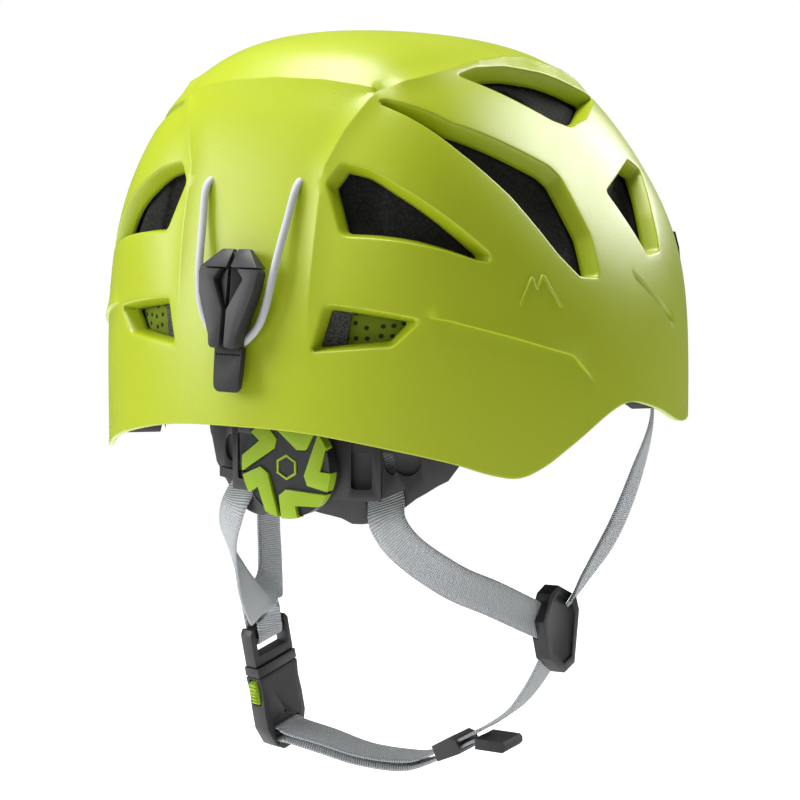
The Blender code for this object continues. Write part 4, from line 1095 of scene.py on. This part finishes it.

# %% [markdown]
# Pads. The brow, nape and crown pads are knitted cloth over soft foam. Each one starts as a slightly thin
# block; a short cloth simulation with inner pressure puffs it up, and how far a point may move is capped
# so the pad keeps its place. The vent pads are perforated mesh; no holes are cut, they are painted as
# small dark marks, painted shade for the dark seen through them.

# %% pads
def puff(name, node, body, cap, mat=PAD, voxel=2.6):
    bm = of_node(node)
    bmesh.ops.recalc_face_normals(bm, faces=bm.faces)
    for _ in range(1):
        for v in bm.verts:
            v.co -= v.normal * 0.35
    ob = put(name, bm, mat)
    m = ob.modifiers.new("cells", 'REMESH')
    m.mode, m.voxel_size = 'VOXEL', voxel * MM
    me = bpy.data.meshes.new_from_object(ob.evaluated_get(bpy.context.evaluated_depsgraph_get()))
    ob.modifiers.clear()
    ob.data = me
    rest = np.array([v.co for v in me.vertices])
    c = ob.modifiers.new("cloth", 'CLOTH')
    s = c.settings
    s.quality, s.mass, s.use_pressure, s.uniform_pressure_force = 5, 0.2, True, 4.0
    s.tension_stiffness = s.compression_stiffness = 12
    s.bending_stiffness = 0.4
    s.effector_weights.gravity = 0
    c.point_cache.frame_end = 20
    for k in range(1, 21):
        bpy.context.scene.frame_set(k)
    swollen = bpy.data.meshes.new_from_object(ob.evaluated_get(bpy.context.evaluated_depsgraph_get()))
    ob.modifiers.clear()
    now = np.array([v.co for v in swollen.vertices])
    move = now - rest
    size = np.linalg.norm(move, axis=1, keepdims=True)
    rest = rest + move * np.minimum(1, cap * MM / np.maximum(size, 1e-9))
    bpy.context.scene.frame_set(1)
    bm = bmesh.new()
    bm.from_mesh(me)
    bm.verts.ensure_lookup_table()
    for v, c in zip(bm.verts, rest):
        v.co = c
    for _ in range(2):
        bmesh.ops.smooth_vert(bm, verts=bm.verts, factor=0.5, use_axis_x=True, use_axis_y=True,
                              use_axis_z=True)
    for f in bm.faces:
        f.smooth = True
    bm.to_mesh(me)
    bm.free()
    me.materials.clear()
    me.materials.append(mat)
    sub = ob.modifiers.new("fine", 'SUBSURF')
    sub.levels = sub.render_levels = 1
    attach(ob, body)
    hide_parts(node)
    return ob


puff("pad_brow", "forehead_pad", "helmet", 0.7)
puff("pad_nape", "nape_pad", "cradle", 0.7)
puff("pad_crown", "crown_pad", "helmet", 1.0)
# the vent pads' lime mesh, with painted shade where its holes are
mesh_and_hole_shade, nt, b = shader("pad_mesh", (0.16, 0.22, 0.006), 0.9)
coord, split = nt.nodes.new("ShaderNodeTexCoord"), nt.nodes.new("ShaderNodeSeparateXYZ")
flat = nt.nodes.new("ShaderNodeCombineXYZ")
link(nt, coord, "Object", split, 0)
link(nt, split, "X", flat, "X")
link(nt, split, "Z", flat, "Y")
vor = nt.nodes.new("ShaderNodeTexVoronoi")
vor.voronoi_dimensions = '2D'
vor.inputs["Scale"].default_value = 1 / (4.2 * MM)
vor.inputs["Randomness"].default_value = 0.45
link(nt, flat, 0, vor, "Vector")
# painted shade: small dark marks where the mesh's holes would show the dark behind it
hole_shade_mask = ramp(nt, vor, "Distance", 0.17, 0.25, 0, 1)
mix = nt.nodes.new("ShaderNodeMixRGB")
mix.inputs[1].default_value = (0.012, 0.016, 0.002, 1)
mix.inputs[2].default_value = (0.17, 0.235, 0.004, 1)
link(nt, hole_shade_mask, "Result", mix, 0)
link(nt, mix, 0, b, "Base Color")


COLS, ROWS, SLOT_LOW, SLOT_RISE, SWELL = 10, 6, 11.2, 9.4, 0.5


def slot_pad(name, node, s, edge0, edge1, depth, thick, mat):
    """Thin pad bent to the dome behind a low slot; its upright edges may slant."""
    bm = bmesh.new()
    grid = {}
    for i in range(COLS + 1):
        for j in range(ROWS + 1):
            el = SLOT_LOW + SLOT_RISE * j / ROWS
            lo, hi = (e[0] + (e[1] - e[0]) * j / ROWS for e in (edge0, edge1))
            p = dome([s * (lo + (hi - lo) * i / COLS)], [el])
            swell = SWELL * sin(pi * i / COLS) * sin(pi * j / ROWS)
            for side, d in ((0, depth - swell), (1, depth + thick)):
                grid[i, j, side] = bm.verts.new((p - normals(p) * d)[0])
    for i in range(COLS):
        for j in range(ROWS):
            for side in (0, 1):
                corners = ((i, j), (i + 1, j), (i + 1, j + 1), (i, j + 1))
                bm.faces.new([grid[q + (side,)] for q in corners])
    ring = [(i, 0) for i in range(COLS)] + [(COLS, j) for j in range(ROWS)]
    ring += [(i, ROWS) for i in range(COLS, 0, -1)] + [(0, j) for j in range(ROWS, 0, -1)]
    for a, c in zip(ring, ring[1:] + ring[:1]):
        bm.faces.new((grid[a + (0,)], grid[c + (0,)], grid[c + (1,)], grid[a + (1,)]))
    bmesh.ops.recalc_face_normals(bm, faces=bm.faces)
    put(name, bm, mat, "helmet", [node], crisp=40)


for s, tag in ((1, "right"), (-1, "left")):
    slot_pad(f"slot_pad_{tag}", f"vent_pad_{tag}", s, (17.6, 19.0), (31.5, 30.0), 8.6, 3.4, mesh_and_hole_shade)
    slot_pad(f"slot_strip_{tag}", f"vent_strip_{tag}", s, (15.0, 15.0), (18.6, 20.4), 6.6, 1.6, PAD)

# %% [markdown]
# The room: a round pale floor that glows faintly so that it stays white, a soft light overhead and
# weaker ones at the sides and in front.

# %% room and light
def area(name, at, size, power, aim=(0, 0, 0), tint=(1, 1, 1)):
    data = bpy.data.lights.new(name, 'AREA')
    data.shape, data.size, data.energy, data.color = 'SQUARE', size, power, tint
    ob = bpy.data.objects.new(name, data)
    bpy.context.scene.collection.objects.link(ob)
    ob.location = at
    ob.rotation_euler = (Vector(at) - Vector(aim)).to_track_quat('Z', 'Y').to_euler()
    return ob


def rel(right, back, up):
    """Place by the camera's own right and depth."""
    return tuple((side * right + Vector((toward.x, toward.y, 0)).normalized() * back + Vector((0, 0, up))))


area("top", rel(-0.25, 0.0, 1.3), 0.7, 21)
area("right", rel(1.2, -1.0, 0.75), 0.6, 13)
area("left", rel(-1.3, 0.3, 0.4), 0.7, 11)
area("front", rel(-0.6, 1.4, 0.7), 1.0, 2)
world = bpy.data.worlds.new("room")
bpy.context.scene.world = world
world.use_nodes = True
nt = world.node_tree
back = nt.nodes["Background"]
back.inputs["Color"].default_value = (1, 1, 1, 1)
back.inputs["Strength"].default_value = 0.16
white = nt.nodes.new("ShaderNodeBackground")
white.inputs["Color"].default_value = (1, 1, 1, 1)
pick, rays = nt.nodes.new("ShaderNodeMixShader"), nt.nodes.new("ShaderNodeLightPath")
link(nt, rays, "Is Camera Ray", pick, 0)
nt.links.new(back.outputs[0], pick.inputs[1])
nt.links.new(white.outputs[0], pick.inputs[2])
nt.links.new(pick.outputs[0], nt.nodes["World Output"].inputs[0])
bpy.context.scene.view_settings.view_transform = 'Standard'
floor_bm = bmesh.new()
bmesh.ops.create_circle(floor_bm, cap_ends=True, segments=96, radius=720)
bmesh.ops.translate(floor_bm, vec=(0, 0, -215), verts=floor_bm.verts)
floor_mat, _, b = shader("floor", (0.9, 0.9, 0.9), 0.8)
b.inputs["Emission Color"].default_value = (1, 1, 1, 1)
b.inputs["Emission Strength"].default_value = 0.4
put("floor", floor_bm, floor_mat)
